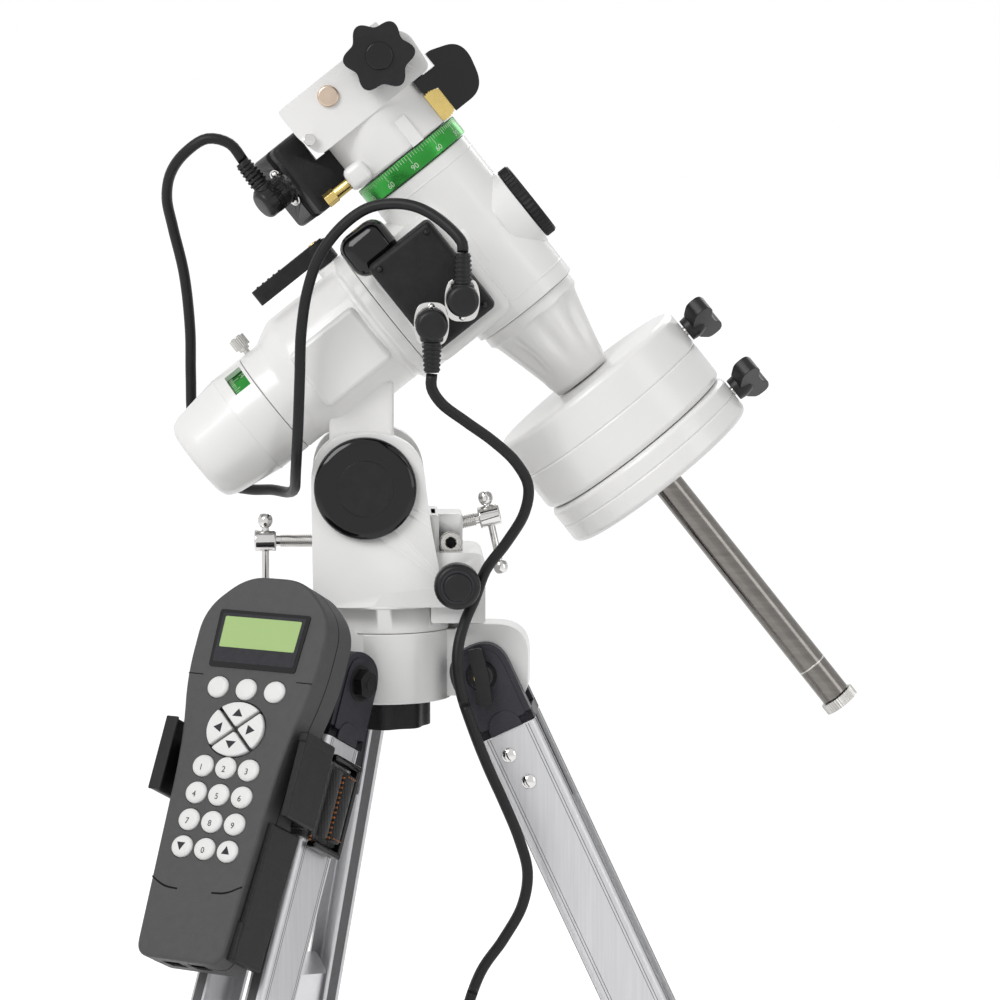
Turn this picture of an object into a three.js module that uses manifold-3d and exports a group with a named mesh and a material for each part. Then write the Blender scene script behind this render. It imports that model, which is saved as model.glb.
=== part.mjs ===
// German equatorial mount with motor drives and a hand controller, on an aluminium tripod.
// Millimetres, +Z up, the floor at z = 0. +X points along the meridian to the raised end of the
// polar axis, and the motors' connector sides face -Y. The origin is the middle of the three
// feet's footprint.
import * as THREE from "three";
import { RoundedBoxGeometry } from "three/addons/geometries/RoundedBoxGeometry.js";
import { mergeVertices } from "three/addons/utils/BufferGeometryUtils.js";
import Module from "manifold-3d";

const wasm = await Module();
wasm.setup();

// ---------- driving dimensions ----------

const GAP = 0.3; // between pieces that touch
const RUNNING = 0.4; // radial clearance of a pin in its hole

// tripod
const legTilt = 25; // degrees from upright
const hingeHeight = 704;
const hingeRadius = 60;
const legAzimuth = { right: -5, front: 235, back: 110 };
const headRadius = 41;
const headTop = 729.7;
const headBottom = 688;
const lobeHalf = 13; // half the thickness of a lobe between its bracket's ears
const lobeReach = 87;
const lobeTop = 733;
const boltRadius = 4;
const legWidth = 36; // seen along the hinge bolt
const legHalf = 25; // half the leg's size along the hinge bolt
const shoulder = 36; // hinge bolt to the top end of the rails
const railWall = 2.5;
const railDepth = 11;
const railEnd = 540;
const bracketEnd = 92;
const innerTop = 230;
const innerWidth = 24;
const innerHalf = 16;
const clampLength = 50;
const clampWall = 4;
const footRadius = 13;
const footFlat = 6;

// mount base
const baseTop = 757;
const pivot = { x: -10.4, z: 816, axle: 6, ear: 32 }; // altitude pivot
const earInner = 27;
const earOuter = 41;
const coverRadius = 30;
const tailDrop = 35; // altitude bolts' height below the pivot
const tailRadius = 8;
const altitudeBoltRadius = 4;
const tipGap = 0.8; // a bolt's tip to the tail, so that it clears through the whole tilt
const altitudeBolts = {
  rear: { side: -1, slope: 0, length: 57, barShift: -9 },
  front: { side: 1, slope: 12.5, length: 73, barShift: -10 },
};
const peg = { x: 43, radius: 5, top: 767 }; // what the azimuth screws push on
const azimuthHeight = 760;
const azimuthBoss = { inner: 28, outer: 60, half: 34, bottom: 735.5, top: 777 };
const azimuthKnobRadius = 13.5;

// polar and declination axes
const latitude = 38.5;
const crossing = { x: 55.1, z: 957.9 }; // where the two axes meet
const seam = -66; // turning housing over fixed housing, along the polar axis
const housingRadius = 40;
const flangeRadius = 44;
const neckEnd = -152; // lower end of the fixed housing's full body
const spigotRadius = 24.7;
const coverEnd = -210;
const coverOuter = 33;
const decRadius = 34;
const decLower = 48;
const decUpper = -54;
const decNeck = 29.6;
const circleRadius = 35.5;
const circleWidth = 12;
const headDrumRadius = 37;
const saddle = { under: -97, top: -132, low: -43, high: 45, front: -38, back: 40 };
const groove = { depth: 16, top: 41, bottom: 50, relief: 2.4, centre: 1.5 };
const saddleClamp = { x: -120.8, z: 23.5, radius: 4 };
const motorBox = { low: -57.5, high: -12.5, left: -31, right: 32, front: -86, back: -46.3 };
const connectorRadius = 9.2;
const cableRadius = 3.25;

// counterweights
const shaftRadius = 9;
const nutEnd = 102;
const weightRadius = 64;
const largeWeight = 49;
const smallWeight = 25.5;
const shaftEnd = 346;
const toeSaverRadius = 11;

// hand controller, in its leg's own frame
const handset = { top: -40, bottom: 188, half: 45, hip: 36, foot: 30, back: 40, thick: 27, centre: -3 };
const keyRows = { top: -28, pad: -52, first: -75, pitch: 16 }; // heights of the key groups' centres
const keyTravel = 1.4;

// ---------- helpers ----------

const rad = THREE.MathUtils.degToRad;

function solid(geometry) {
  const bare = (geometry.index ? geometry.toNonIndexed() : geometry.clone()).deleteAttribute("normal");
  bare.deleteAttribute("uv");
  bare.clearGroups();
  const merged = mergeVertices(bare, 1e-4);
  const triVerts = new Uint32Array(merged.index.array);
  const data = { numProp: 3, vertProperties: merged.attributes.position.array, triVerts };
  const made = new wasm.Manifold(new wasm.Mesh(data));
  if (made.volume() >= 0) return made;
  for (let i = 0; i < triVerts.length; i += 3) {
    [triVerts[i + 1], triVerts[i + 2]] = [triVerts[i + 2], triVerts[i + 1]];
  }
  return new wasm.Manifold(new wasm.Mesh(data));
}

function geometryOf(manifold) {
  const mesh = manifold.getMesh();
  const geometry = new THREE.BufferGeometry();
  geometry.setAttribute("position", new THREE.BufferAttribute(new Float32Array(mesh.vertProperties), 3));
  geometry.setIndex(new THREE.BufferAttribute(new Uint32Array(mesh.triVerts), 1));
  return geometry;
}

const join = (...pieces) => geometryOf(pieces.map(solid).reduce((a, b) => a.add(b)));

const cut = (base, ...tools) => geometryOf(tools.reduce((a, tool) => a.subtract(solid(tool)), solid(base)));

const keep = (base, mask) => geometryOf(solid(base).intersect(solid(mask)));

const block = (x0, x1, y0, y1, z0, z1) =>
  new THREE.BoxGeometry(x1 - x0, y1 - y0, z1 - z0).translate((x0 + x1) / 2, (y0 + y1) / 2, (z0 + z1) / 2);

const softBlock = (x0, x1, y0, y1, z0, z1, radius, steps = 1) =>
  new RoundedBoxGeometry(x1 - x0, y1 - y0, z1 - z0, steps, radius)
    .translate((x0 + x1) / 2, (y0 + y1) / 2, (z0 + z1) / 2);

// Turns a shape made along +Z so that it runs along another axis.
function along(geometry, axis) {
  if (axis === "x") return geometry.rotateY(Math.PI / 2);
  if (axis === "y") return geometry.rotateX(-Math.PI / 2);
  return geometry;
}

// A solid of revolution about an axis, from [radius, distance along the axis] corners.
function turned(profile, axis, sides = 24) {
  const points = profile.map(([r, h]) => new THREE.Vector2(r, h));
  return along(new THREE.LatheGeometry(points, sides).rotateX(Math.PI / 2), axis);
}

const rod = (radius, from, to, axis, sides = 16) =>
  turned([[0, from], [radius, from], [radius, to], [0, to]], axis, sides);

const cone = (r0, r1, from, to, axis, sides = 12) =>
  turned([[0, from], [r0, from], [r1, to], [0, to]], axis, sides);

const ring = (inner, outer, from, to, axis, sides = 24) =>
  turned([[inner, from], [outer, from], [outer, to], [inner, to], [inner, from]], axis, sides);

// A flat outline with rounded corners, from corners [u, v, corner radius].
function outline(corners) {
  const shape = new THREE.Shape();
  corners.forEach(([u, v, radius = 0], i) => {
    const here = new THREE.Vector2(u, v);
    const [pu, pv] = corners[(i + corners.length - 1) % corners.length];
    const [nu, nv] = corners[(i + 1) % corners.length];
    const back = new THREE.Vector2(pu, pv).sub(here).setLength(radius).add(here);
    const ahead = new THREE.Vector2(nu, nv).sub(here).setLength(radius).add(here);
    if (i === 0) shape.moveTo(back.x, back.y);
    else shape.lineTo(back.x, back.y);
    if (radius > 0) shape.quadraticCurveTo(u, v, ahead.x, ahead.y);
  });
  shape.closePath();
  return shape;
}

// An outline's plate: u, v are (x, z) for a plate across y, (y, z) across x and (x, y) across z.
function plate(shape, axis, from, to, curveSegments = 3) {
  const geometry = new THREE.ExtrudeGeometry(shape, { depth: to - from, bevelEnabled: false, curveSegments });
  if (axis === "z") return geometry.translate(0, 0, from);
  const x = new THREE.Vector3(1, 0, 0);
  const y = new THREE.Vector3(0, 1, 0);
  const z = new THREE.Vector3(0, 0, 1);
  if (axis === "y") {
    return geometry.applyMatrix4(new THREE.Matrix4().makeBasis(x, z, y.clone().negate())).translate(0, to, 0);
  }
  return geometry.applyMatrix4(new THREE.Matrix4().makeBasis(y, z, x)).translate(from, 0, 0);
}

// A round tube through points, with a section every few diameters.
function tube(points, radius, steps, sides = 8) {
  const path = new THREE.CatmullRomCurve3(points.map((p) => new THREE.Vector3(...p)), false, "centripetal");
  const section = new THREE.Shape();
  for (let i = 0; i <= sides; i++) {
    const turn = (2 * Math.PI * i) / sides;
    const at = [radius * Math.cos(turn), radius * Math.sin(turn)];
    if (i === 0) section.moveTo(...at);
    else section.lineTo(...at);
  }
  return new THREE.ExtrudeGeometry(section, { steps, extrudePath: path, bevelEnabled: false, curveSegments: 1 });
}

const paint = (color, roughness, metalness = 0) =>
  new THREE.MeshStandardMaterial({ color, roughness, metalness });

const white = paint(0xf0efec, 0.35);
const blackGloss = paint(0x101012, 0.2);
const blackMatte = paint(0x18181a, 0.6);
const greyPlastic = paint(0x3c3b40, 0.5);
const handsetGrey = paint(0x565658, 0.6);
const keyWhite = paint(0xe8e8e6, 0.5);
const greenMetal = paint(0x1f8a2a, 0.25, 1);
const aluminium = paint(0xcdcbd0, 0.35, 1);
const chrome = paint(0xc8c6c2, 0.12, 1);
const brass = paint(0xbfae54, 0.25, 1);
const rubber = paint(0x161616, 0.75);
const webbing = paint(0x121214, 0.9);

function add(group, name, geometry, material) {
  const mesh = new THREE.Mesh(geometry, material);
  mesh.name = name;
  group.add(mesh);
}

// ---------- tripod head ----------

function lobe() {
  const step = headRadius + 2.5;
  return plate(
    outline([
      [20, headBottom + 2],
      [lobeReach - 3, headBottom + 2, 3],
      [lobeReach, headBottom + 8, 2],
      [lobeReach, lobeTop, 20],
      [step + 4, lobeTop, 2],
      [step, headTop, 1],
      [20, headTop],
    ]),
    "y", -lobeHalf, lobeHalf,
  );
}

function tripodHead(stand) {
  let body = join(
    rod(headRadius, headBottom, headTop, "z", 24),
    rod(peg.radius, headBottom + 10, peg.top, "z", 16).translate(peg.x, 0, 0),
  );
  for (const azimuth of Object.values(legAzimuth)) {
    body = join(body, lobe().rotateZ(rad(azimuth)));
  }
  for (const azimuth of Object.values(legAzimuth)) {
    const bore = rod(boltRadius + RUNNING, -lobeHalf - 5, lobeHalf + 5, "y", 16);
    body = cut(body, bore.translate(hingeRadius, 0, hingeHeight).rotateZ(rad(azimuth)));
  }
  const bore = rod(6 + RUNNING, headBottom - 1, headTop + 1, "z", 16);
  add(stand, "tripod_head", cut(body, bore), white);

  const grip = plate(starShape(28, 25.5, 8), "z", headBottom - 17, headBottom - 1.5, 3);
  const screw = rod(6, headBottom - 10, 748, "z", 16);
  add(stand, "centre_knob", join(grip, screw), blackMatte);
}

// A knob's outline with round lobes.
function starShape(outer, inner, lobes) {
  const shape = new THREE.Shape();
  const steps = lobes * 4;
  for (let i = 0; i <= steps; i++) {
    const turn = (2 * Math.PI * i) / steps;
    const radius = (outer + inner) / 2 + ((outer - inner) / 2) * Math.cos(lobes * turn);
    const at = [radius * Math.cos(turn), radius * Math.sin(turn)];
    if (i === 0) shape.moveTo(...at);
    else shape.lineTo(...at);
  }
  return shape;
}

// ---------- legs ----------
// A leg's own frame starts at its hinge bolt: x outwards across the leg, y along the bolt,
// and the leg runs down -z.

const halfWidth = legWidth / 2;
const channelInner = legHalf - railDepth; // inner edge of a rail, from the leg's middle plane

function legBracket() {
  const ear = (from, to) =>
    plate(
      outline([
        [-halfWidth, -shoulder],
        [halfWidth, -shoulder],
        [halfWidth, halfWidth, halfWidth],
        [-halfWidth, halfWidth, halfWidth],
      ]),
      "y", from, to,
    );
  const inset = railWall + GAP;
  const bump = rod(10, legHalf - 2, legHalf + 1.5, "y", 16).translate(0, 0, -shoulder + 2);
  const bumps = join(bump, bump.clone().rotateZ(Math.PI));
  const clipped = keep(bumps, block(-12, 12, -40, 40, -shoulder, 0));
  let body = join(
    ear(-legHalf, -lobeHalf - 1),
    ear(lobeHalf + 1, legHalf),
    block(-halfWidth, halfWidth, -legHalf, legHalf, -shoulder, -shoulder + 6),
    block(-halfWidth + inset, halfWidth - inset, -legHalf + inset + 2, legHalf - inset - 2, -bracketEnd, -shoulder),
  );
  body = join(body, clipped);
  return cut(body, rod(boltRadius + RUNNING, -40, 40, "y", 16));
}

// A channel with a crowned outer face, open towards the leg's middle plane.
function rail(side) {
  const lip = halfWidth - railWall;
  const shape = outline([
    [-halfWidth, channelInner],
    [-halfWidth, legHalf, 5],
    [halfWidth, legHalf, 5],
    [halfWidth, channelInner],
    [lip, channelInner],
    [lip, legHalf - railWall - 0.5, 2],
    [-lip, legHalf - railWall - 0.5, 2],
    [-lip, channelInner],
  ]);
  const bar = plate(shape, "z", -railEnd, -shoulder - GAP, 3);
  return side < 0 ? bar.rotateZ(Math.PI) : bar;
}

function hingeBolt() {
  const hex = rod(9, -legHalf - 7, -legHalf - GAP, "y", 6);
  const shank = rod(boltRadius, -legHalf - 4, legHalf + 4, "y", 12);
  const boss = rod(7, legHalf + GAP, legHalf + 8, "y", 16);
  const wings = plate(outline([[-3, -17, 2], [4, -17, 2], [3, 0], [4, 17, 2], [-3, 17, 2], [-4, 0]]),
    "y", legHalf + 4, legHalf + 10);
  return join(hex, shank, boss, wings);
}

function legClamp() {
  const x = halfWidth + clampWall;
  const y = legHalf + clampWall;
  const top = -railEnd + 15;
  const shell = softBlock(-x, x, -y, y, top - clampLength, top, 3, 1);
  const pocket = block(-halfWidth - GAP, halfWidth + GAP, -legHalf - GAP, legHalf + GAP, -railEnd - GAP, top + 1);
  const web = block(-halfWidth + 6, halfWidth - 6, -channelInner + 2, channelInner - 2, -railEnd - 1, top);
  const way = innerPassage(top - clampLength - 1, top + 1);
  const boss = rod(10, halfWidth, x + 6, "x", 16).translate(0, 0, -railEnd - 14);
  const hole = rod(4 + RUNNING, 5, x + 7, "x", 12).translate(0, 0, -railEnd - 14);
  return cut(join(cut(shell, pocket), cut(web, pocket), boss), way, hole);
}

const innerPassage = (from, to) =>
  block(-innerWidth / 2 - GAP, innerWidth / 2 + GAP, -innerHalf - GAP, innerHalf + GAP, from, to);

function lockKnob() {
  const x = halfWidth + clampWall + 6 + GAP;
  const grip = plate(starShape(14, 11, 5), "x", x, x + 14, 3);
  const screw = rod(4, innerWidth / 2 + GAP, x + 2, "x", 12);
  return join(grip, screw).translate(0, 0, -railEnd - 14);
}

const footHeight = Math.sqrt(footRadius ** 2 - footFlat ** 2);
const footDrop = (hingeHeight - footHeight) / Math.cos(rad(legTilt));
const footReach = hingeRadius + (hingeHeight - footHeight) * Math.tan(rad(legTilt));

function innerLeg() {
  const bar = softBlock(-innerWidth / 2, innerWidth / 2, -innerHalf, innerHalf, -footDrop + 14, -innerTop, 3, 1);
  const socket = cone(footRadius, 19, 0, 34, "z").translate(0, 0, -footDrop);
  const ball = new THREE.SphereGeometry(footRadius, 12, 6).translate(0, 0, -footDrop);
  const floor = block(-40, 40, -40, 40, -40, -footHeight).rotateY(rad(legTilt)).translate(0, 0, -footDrop);
  return cut(join(bar, socket, ball), floor);
}

function leg(stand, name) {
  const spoke = new THREE.Group();
  spoke.rotation.z = rad(legAzimuth[name]);
  const hinge = new THREE.Group();
  hinge.position.set(hingeRadius, 0, hingeHeight);
  hinge.rotation.y = -rad(legTilt);
  spoke.add(hinge);
  stand.add(spoke);
  add(hinge, `${name}_leg_bracket`, legBracket(), greyPlastic);
  add(hinge, `${name}_leg_rail_a`, rail(-1), aluminium);
  add(hinge, `${name}_leg_rail_b`, rail(1), aluminium);
  add(hinge, `${name}_leg_hinge_bolt`, hingeBolt().rotateZ(Math.PI), blackMatte);
  add(hinge, `${name}_leg_clamp`, legClamp(), greyPlastic);
  add(hinge, `${name}_leg_lock_knob`, lockKnob(), blackMatte);
  add(hinge, `${name}_inner_leg`, innerLeg(), aluminium);
  return hinge;
}

// ---------- mount base ----------

function yoke() {
  const left = pivot.x - pivot.ear;
  const ear = (from, to) =>
    plate(
      outline([
        [-headRadius, headTop + 16],
        [headRadius - 1, headTop + 16],
        [34, baseTop + 4, 4],
        [pivot.x + pivot.ear + 6, pivot.z - 20, 8],
        [pivot.x + pivot.ear, pivot.z + pivot.ear, pivot.ear - 2],
        [left, pivot.z + pivot.ear, pivot.ear - 2],
      ]),
      "y", from, to, 5,
    );
  const boltHeight = pivot.z - tailDrop;
  const b = azimuthBoss;
  const solidParts = join(
    rod(headRadius, headTop + GAP, baseTop, "z", 24),
    ear(-earOuter, -earInner),
    ear(earInner, earOuter),
    block(left + 1.6, left + 11, -earInner - 1, earInner + 1, headTop + 16, boltHeight + 14),
    block(22, 33, -earInner - 1, earInner + 1, headTop + 16, boltHeight + 18),
    softBlock(26, 47, -22, 10, boltHeight - 8, boltHeight + 18, 2, 1),
    plate(outline([[b.inner, b.bottom, 2], [b.outer, b.bottom, 2], [b.outer, b.top, 8], [b.inner, b.top, 2]]),
      "y", -b.half, b.half),
  );
  const boltHoles = Object.values(altitudeBolts).map((bolt) =>
    fromTail(rod(altitudeBoltRadius + RUNNING, -2, 60, "x", 12), bolt));
  const axleHole = rod(pivot.axle + RUNNING, -60, 60, "y", 20).translate(pivot.x, 0, pivot.z);
  const slot = block(peg.x - peg.radius - 2, peg.x + peg.radius + 2, -14, 14, b.bottom - 1, peg.top + 3);
  const pegWay = block(peg.x - peg.radius - 2, peg.x + peg.radius + 2, -14, 14, headTop, b.bottom);
  const screwHole = rod(3 + RUNNING, -60, 60, "y", 12).translate(peg.x, 0, azimuthHeight);
  const centreHole = rod(6 + RUNNING, headTop, 749, "z", 16);
  return cut(solidParts, ...boltHoles, axleHole, slot, pegWay, screwHole, centreHole);
}

function pivotCovers(base) {
  const disc = (from, to) => rod(coverRadius, from, to, "y", 24);
  const out = earOuter + GAP;
  const near = join(disc(-out - 6, -out), rod(pivot.axle, -out - 1, out - 0.5, "y", 20));
  const place = [pivot.x, 0, pivot.z];
  add(base, "pivot_cover_front", near.translate(...place), blackGloss);
  add(base, "pivot_cover_back", disc(out, out + 6).translate(...place), blackGloss);
}

// A bolt's own frame has its tip at the origin and runs out along +x.
function fromTail(geometry, { side, slope }) {
  return geometry
    .rotateY(side < 0 ? Math.PI : 0)
    .rotateY(-rad(slope))
    .translate(pivot.x + side * (tailRadius + tipGap), 0, pivot.z - tailDrop);
}

// A threaded bolt with a sliding ball-ended bar through its head.
function altitudeBolt(bolt) {
  const { length, barShift } = bolt;
  const shank = rod(altitudeBoltRadius, 0, length, "x", 12);
  const head = rod(6.5, length - 13, length, "x", 12);
  const bar = rod(2.2, barShift - 20, barShift + 20, "z", 10).translate(length - 6.5, 0, 0);
  const balls = [-21, 21].map((z) =>
    new THREE.SphereGeometry(4.3, 8, 5).translate(length - 6.5, 0, z + barShift));
  return fromTail(join(shank, head, bar, ...balls), bolt);
}

function azimuthKnob(side) {
  const faces = [-azimuthBoss.half - 16, -peg.radius - RUNNING];
  const body = turned(
    [[0, faces[0] - 15], [8, faces[0] - 15], [8.6, faces[0] - 12], [11.5, faces[0] - 12],
      [azimuthKnobRadius, faces[0] - 10], [azimuthKnobRadius, faces[0]], [5, faces[0] + 3],
      [3, faces[0] + 3], [3, faces[1]], [0, faces[1]]],
    "y", 16,
  );
  const turnedTo = side < 0 ? body : body.rotateZ(Math.PI);
  return turnedTo.translate(peg.x, 0, azimuthHeight);
}

// ---------- polar axis: local z runs up it, local x from the saddle to the counterweights ----------

const polarFrame = new THREE.Matrix4()
  .makeTranslation(crossing.x, 0, crossing.z)
  .multiply(new THREE.Matrix4().makeRotationY(rad(90 - latitude)));
const toPolar = polarFrame.clone().invert();

function fixedHousing() {
  const body = turned(
    [[0, neckEnd - 14], [spigotRadius, neckEnd - 14], [spigotRadius, neckEnd], [coverOuter, neckEnd],
      [coverOuter, -139], [36, -134], [housingRadius, -126], [housingRadius, seam - 9],
      [flangeRadius, seam - 7], [flangeRadius, seam - GAP], [0, seam - GAP]],
    "z", 24,
  );
  const facet = softBlock(-18, 21, -42, -10, -127, -79, 2, 1);
  const leverBoss = rod(8, -44, -20, "x", 20).translate(0, 0, -76);
  const half = earInner - GAP;
  const post = block(pivot.x - 21, pivot.x + 17, -half, half, pivot.z, pivot.z + 62);
  const eye = rod(24, -half, half, "y", 32).translate(pivot.x, 0, pivot.z);
  const tail = rod(tailRadius, -half, half, "y", 20).translate(pivot.x, 0, pivot.z - tailDrop);
  const web = block(pivot.x - 5, pivot.x + 5, -half, half, pivot.z - tailDrop, pivot.z);
  const bore = rod(pivot.axle + RUNNING, -half - 1, half + 1, "y", 20).translate(pivot.x, 0, pivot.z);
  const foot = cut(join(post, eye, tail, web), bore).applyMatrix4(toPolar);
  const footKept = cut(foot, block(-200, 200, -60, 60, seam - 8, 60));
  const screwHole = rod(2 + RUNNING, -60, -20, "x", 10).translate(0, 0, -146);
  const leverHole = rod(3 + RUNNING, -60, -30, "x", 12).translate(0, 0, -76);
  return cut(join(body, facet, leverBoss, footKept), screwHole, leverHole);
}

function polarCover() {
  const wall = 3.5;
  const inner = coverOuter - wall;
  const rim = neckEnd - GAP;
  const shell = turned(
    [[0, coverEnd], [22, coverEnd], [26, coverEnd + 2], [28.5, coverEnd + 7], [coverOuter, rim - 20],
      [coverOuter, rim], [inner, rim], [inner, rim - 22], [0, rim - 22]],
    "z", 24,
  );
  const window = block(-45, 0, -7, 7, rim - 13, rim - 2).rotateZ(rad(40));
  return cut(shell, window);
}

function clutchLever() {
  const hub = rod(8, -58, -44 - GAP, "x", 20);
  const pin = rod(3, -48, -32, "x", 12);
  const arm = softBlock(-59, -49, -6, 6, -46, 0, 2, 1);
  return join(hub, pin, arm).translate(0, 0, -76);
}

const thumbscrew = () =>
  join(rod(2, -42, -26, "x", 10), rod(5, -44, -35, "x", 12)).translate(0, 0, -146);

// ---------- turning housing, with the declination axis along local x ----------

function turningHousing() {
  const body = join(
    rod(decRadius, decUpper, decLower, "x", 24),
    rod(decNeck, decUpper - circleWidth - 1, decUpper, "x", 24),
    turned([[0, seam], [flangeRadius, seam], [flangeRadius, -44], [38, -18], [36, 0], [0, 0]], "z", 24),
    softBlock(-34, 42, -46, 0, seam + 6, -6, 4, 1),
    cone(30, 26, 18, 34.6, "z", 32),
  );
  const shaftPocket = rod(shaftRadius + GAP, decLower - 6, decLower + 5, "x", 24);
  const capPocket = rod(12 + RUNNING, 26, 36, "z");
  return cut(body, shaftPocket, capPocket);
}

function motorDrive() {
  const m = motorBox;
  const box = softBlock(m.left, m.right, m.front, m.back, m.low, m.high, 3);
  const gearCover = softBlock(m.left - 21, m.left + 6, m.front + 12, m.back, m.low - 7.5, m.high - 22, 7);
  return join(box, gearCover, ...[-1, 1].flatMap((turn) => connector(turn)));
}

// A right-angle plug on the motor box: turn 1 hangs its relief straight down, -1 points it up.
function connector(turn) {
  const at = [17, 0, turn > 0 ? -48.5 : -26];
  const sleeve = rod(connectorRadius, motorBox.front - 20, motorBox.front + 2, "y", 20).translate(...at);
  const relief = cone(4.2, 6.6, -27 * turn, 0, "z")
    .rotateY(-rad(90 - latitude))
    .translate(at[0], motorBox.front - 12, at[2]);
  return [sleeve, relief];
}

function frontCap() {
  return join(rod(24, 35, 42.5, "z", 24), rod(12, 27, 36, "z"));
}

function shaftNut() {
  const start = decLower + GAP;
  const body = turned(
    [[shaftRadius + GAP, start], [31.5, start], [31.5, start + 7], [30, start + 9], [18, nutEnd],
      [shaftRadius + GAP, nutEnd], [shaftRadius + GAP, start]],
    "x", 24,
  );
  const slope = Math.atan2(12, nutEnd - start - 9);
  const scallops = Array.from({ length: 8 }, (_, i) =>
    rod(7, -2, 40, "x", 8).rotateY(slope).translate(start + 22, 0, 30.5).rotateX((i * Math.PI) / 4));
  return cut(body, ...scallops);
}

// ---------- counterweights ----------

function weight(from, thick, knobAt) {
  const bore = shaftRadius + RUNNING;
  const disc = turned(
    [[bore, from], [weightRadius - 2, from], [weightRadius, from + 2], [weightRadius, from + thick - 2],
      [weightRadius - 2, from + thick], [bore, from + thick], [bore, from]],
    "x", 28,
  );
  return cut(disc, rod(3 + RUNNING, shaftRadius - 2, weightRadius + 5, "z", 12).translate(knobAt, 0, 0));
}

function weightKnob(knobAt) {
  const base = weightRadius + 1;
  const stem = rod(3, shaftRadius + RUNNING + GAP, base + 6, "z", 12);
  const collar = rod(6, base + 1, base + 6, "z", 16);
  const wings = plate(
    outline([[-8, base + 5, 2], [8, base + 5, 2], [17, base + 10, 3], [17, base + 19, 5], [-17, base + 19, 5],
      [-17, base + 10, 3]]),
    "x", -5, 5,
  );
  return join(stem, collar, wings).translate(knobAt, 0, 0);
}

// ---------- declination head ----------

function declinationHead() {
  const s = saddle;
  const drumEnd = decUpper - circleWidth - 1 - GAP;
  const saddleBlock = plate(
    outline([[s.under, s.low + 4, 5], [s.under, s.high - 2, 5], [s.top + 12, s.high, 4], [s.top, s.high - 8, 3],
      [s.top, s.low, 3], [s.top + 20, s.low, 4]]),
    "y", s.front, s.back,
  );
  const g = groove;
  const dovetail = plate(
    outline([[g.centre - g.top / 2, s.top - 1], [g.centre + g.top / 2, s.top - 1],
      [g.centre + g.bottom / 2, s.top + g.depth - g.relief], [g.centre + g.bottom / 2, s.top + g.depth],
      [g.centre - g.bottom / 2, s.top + g.depth], [g.centre - g.bottom / 2, s.top + g.depth - g.relief]]),
    "z", s.low - 5, s.high + 5,
  ).applyMatrix4(swapXY);
  const boss = softBlock(-82, -67.5, -42, -24, -36, -22, 3, 1);
  const pointer = softBlock(drumEnd - 18, drumEnd, -39.5, -32, 6, 14, 2, 1);
  const body = join(rod(headDrumRadius, s.under - 4, drumEnd, "x", 24), saddleBlock, boss, pointer);
  const clampHole = rod(saddleClamp.radius + RUNNING, s.front - 5, 0, "y", 12)
    .translate(saddleClamp.x, 0, saddleClamp.z);
  const clutchHole = rod(2.5 + RUNNING, -40, -25, "z", 10).translate(-74, -33, 0);
  return cut(body, dovetail, clampHole, clutchHole);
}

// Reflects x and y into each other, for an outline that was drawn as (y, x).
const swapXY = new THREE.Matrix4().set(0, 1, 0, 0, 1, 0, 0, 0, 0, 0, 1, 0, 0, 0, 0, 1);

function saddleKnob() {
  const front = saddle.front;
  const star = plate(starShape(21, 16.5, 6), "y", front - 22, front - 8, 2);
  const cap = rod(7.5, front - 24, front - 21, "y", 20);
  const hub = rod(8, front - 9, front - GAP, "y", 16);
  const screw = rod(saddleClamp.radius, front - 2, groove.centre - groove.bottom / 2 - 0.5, "y", 12);
  return join(star, cap, hub, screw).translate(saddleClamp.x, 0, saddleClamp.z);
}

const headClear = () => [
  rod(headDrumRadius + GAP, -130, decUpper, "x", 24),
  block(saddle.top - 5, saddle.under + 0.8, -60, 60, saddle.low - GAP, saddle.high + GAP),
  softBlock(-82 - GAP, -66, -42 - GAP, -20, -36 - GAP, -20, 3, 1),
];

// The declination motor's box, turned a little about the axis, with its plug on the lower face.
function declinationDrive() {
  const box = softBlock(-117, -70, 0, 48, 0, 32, 3);
  const sleeve = rod(connectorRadius, -18, 2, "z", 20).translate(-95, 20, 0);
  const relief = cone(4.2, 6.6, -26, 0, "x", 12).translate(-95, 20, -11);
  const placed = join(box, sleeve, relief).rotateX(rad(-22)).translate(0, -27, -59);
  return cut(placed, ...headClear());
}

function declinationGearCover() {
  const hood = plate(
    outline([[-68, 34], [-68, 60, 12], [-98, 68, 14], [-106, 46], [-97, 34]]),
    "y", -26, 30,
  );
  const shaped = keep(hood, softBlock(-120, -60, -26, 30, 20, 80, 10));
  return cut(shaped, ...headClear());
}

const clutchScrew = () => join(rod(4.5, -53, -36 - GAP, "z", 6), rod(2.5, -40, -26, "z", 10)).translate(-74, -33, 0);

// ---------- hand controller ----------
// Drawn in the front leg's frame: x out of its face, y across, and its length down -z.

const bodyOutline = (grow) => {
  const h = handset;
  const side = [[h.foot, -h.bottom, 9], [h.hip, -62, 25], [h.half, -h.top - 62, 16], [h.half, -h.top - 22, 14],
    [20, -h.top, 13]];
  const right = side.map(([y, z, r]) => [y + grow, z + (z > -h.bottom ? (z < -h.top ? 0 : grow) : -grow), r]);
  return outline([...right, ...right.map(([y, z, r]) => [-y, z, r]).reverse()]);
};

const keyPlaces = () => {
  const { top, first, pitch } = keyRows;
  const places = [[-20, top], [0, top], [20, top]];
  for (let row = 0; row < 4; row++) {
    for (const column of [-1, 0, 1]) places.push([column * pitch, first - row * pitch]);
  }
  return places;
};

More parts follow.
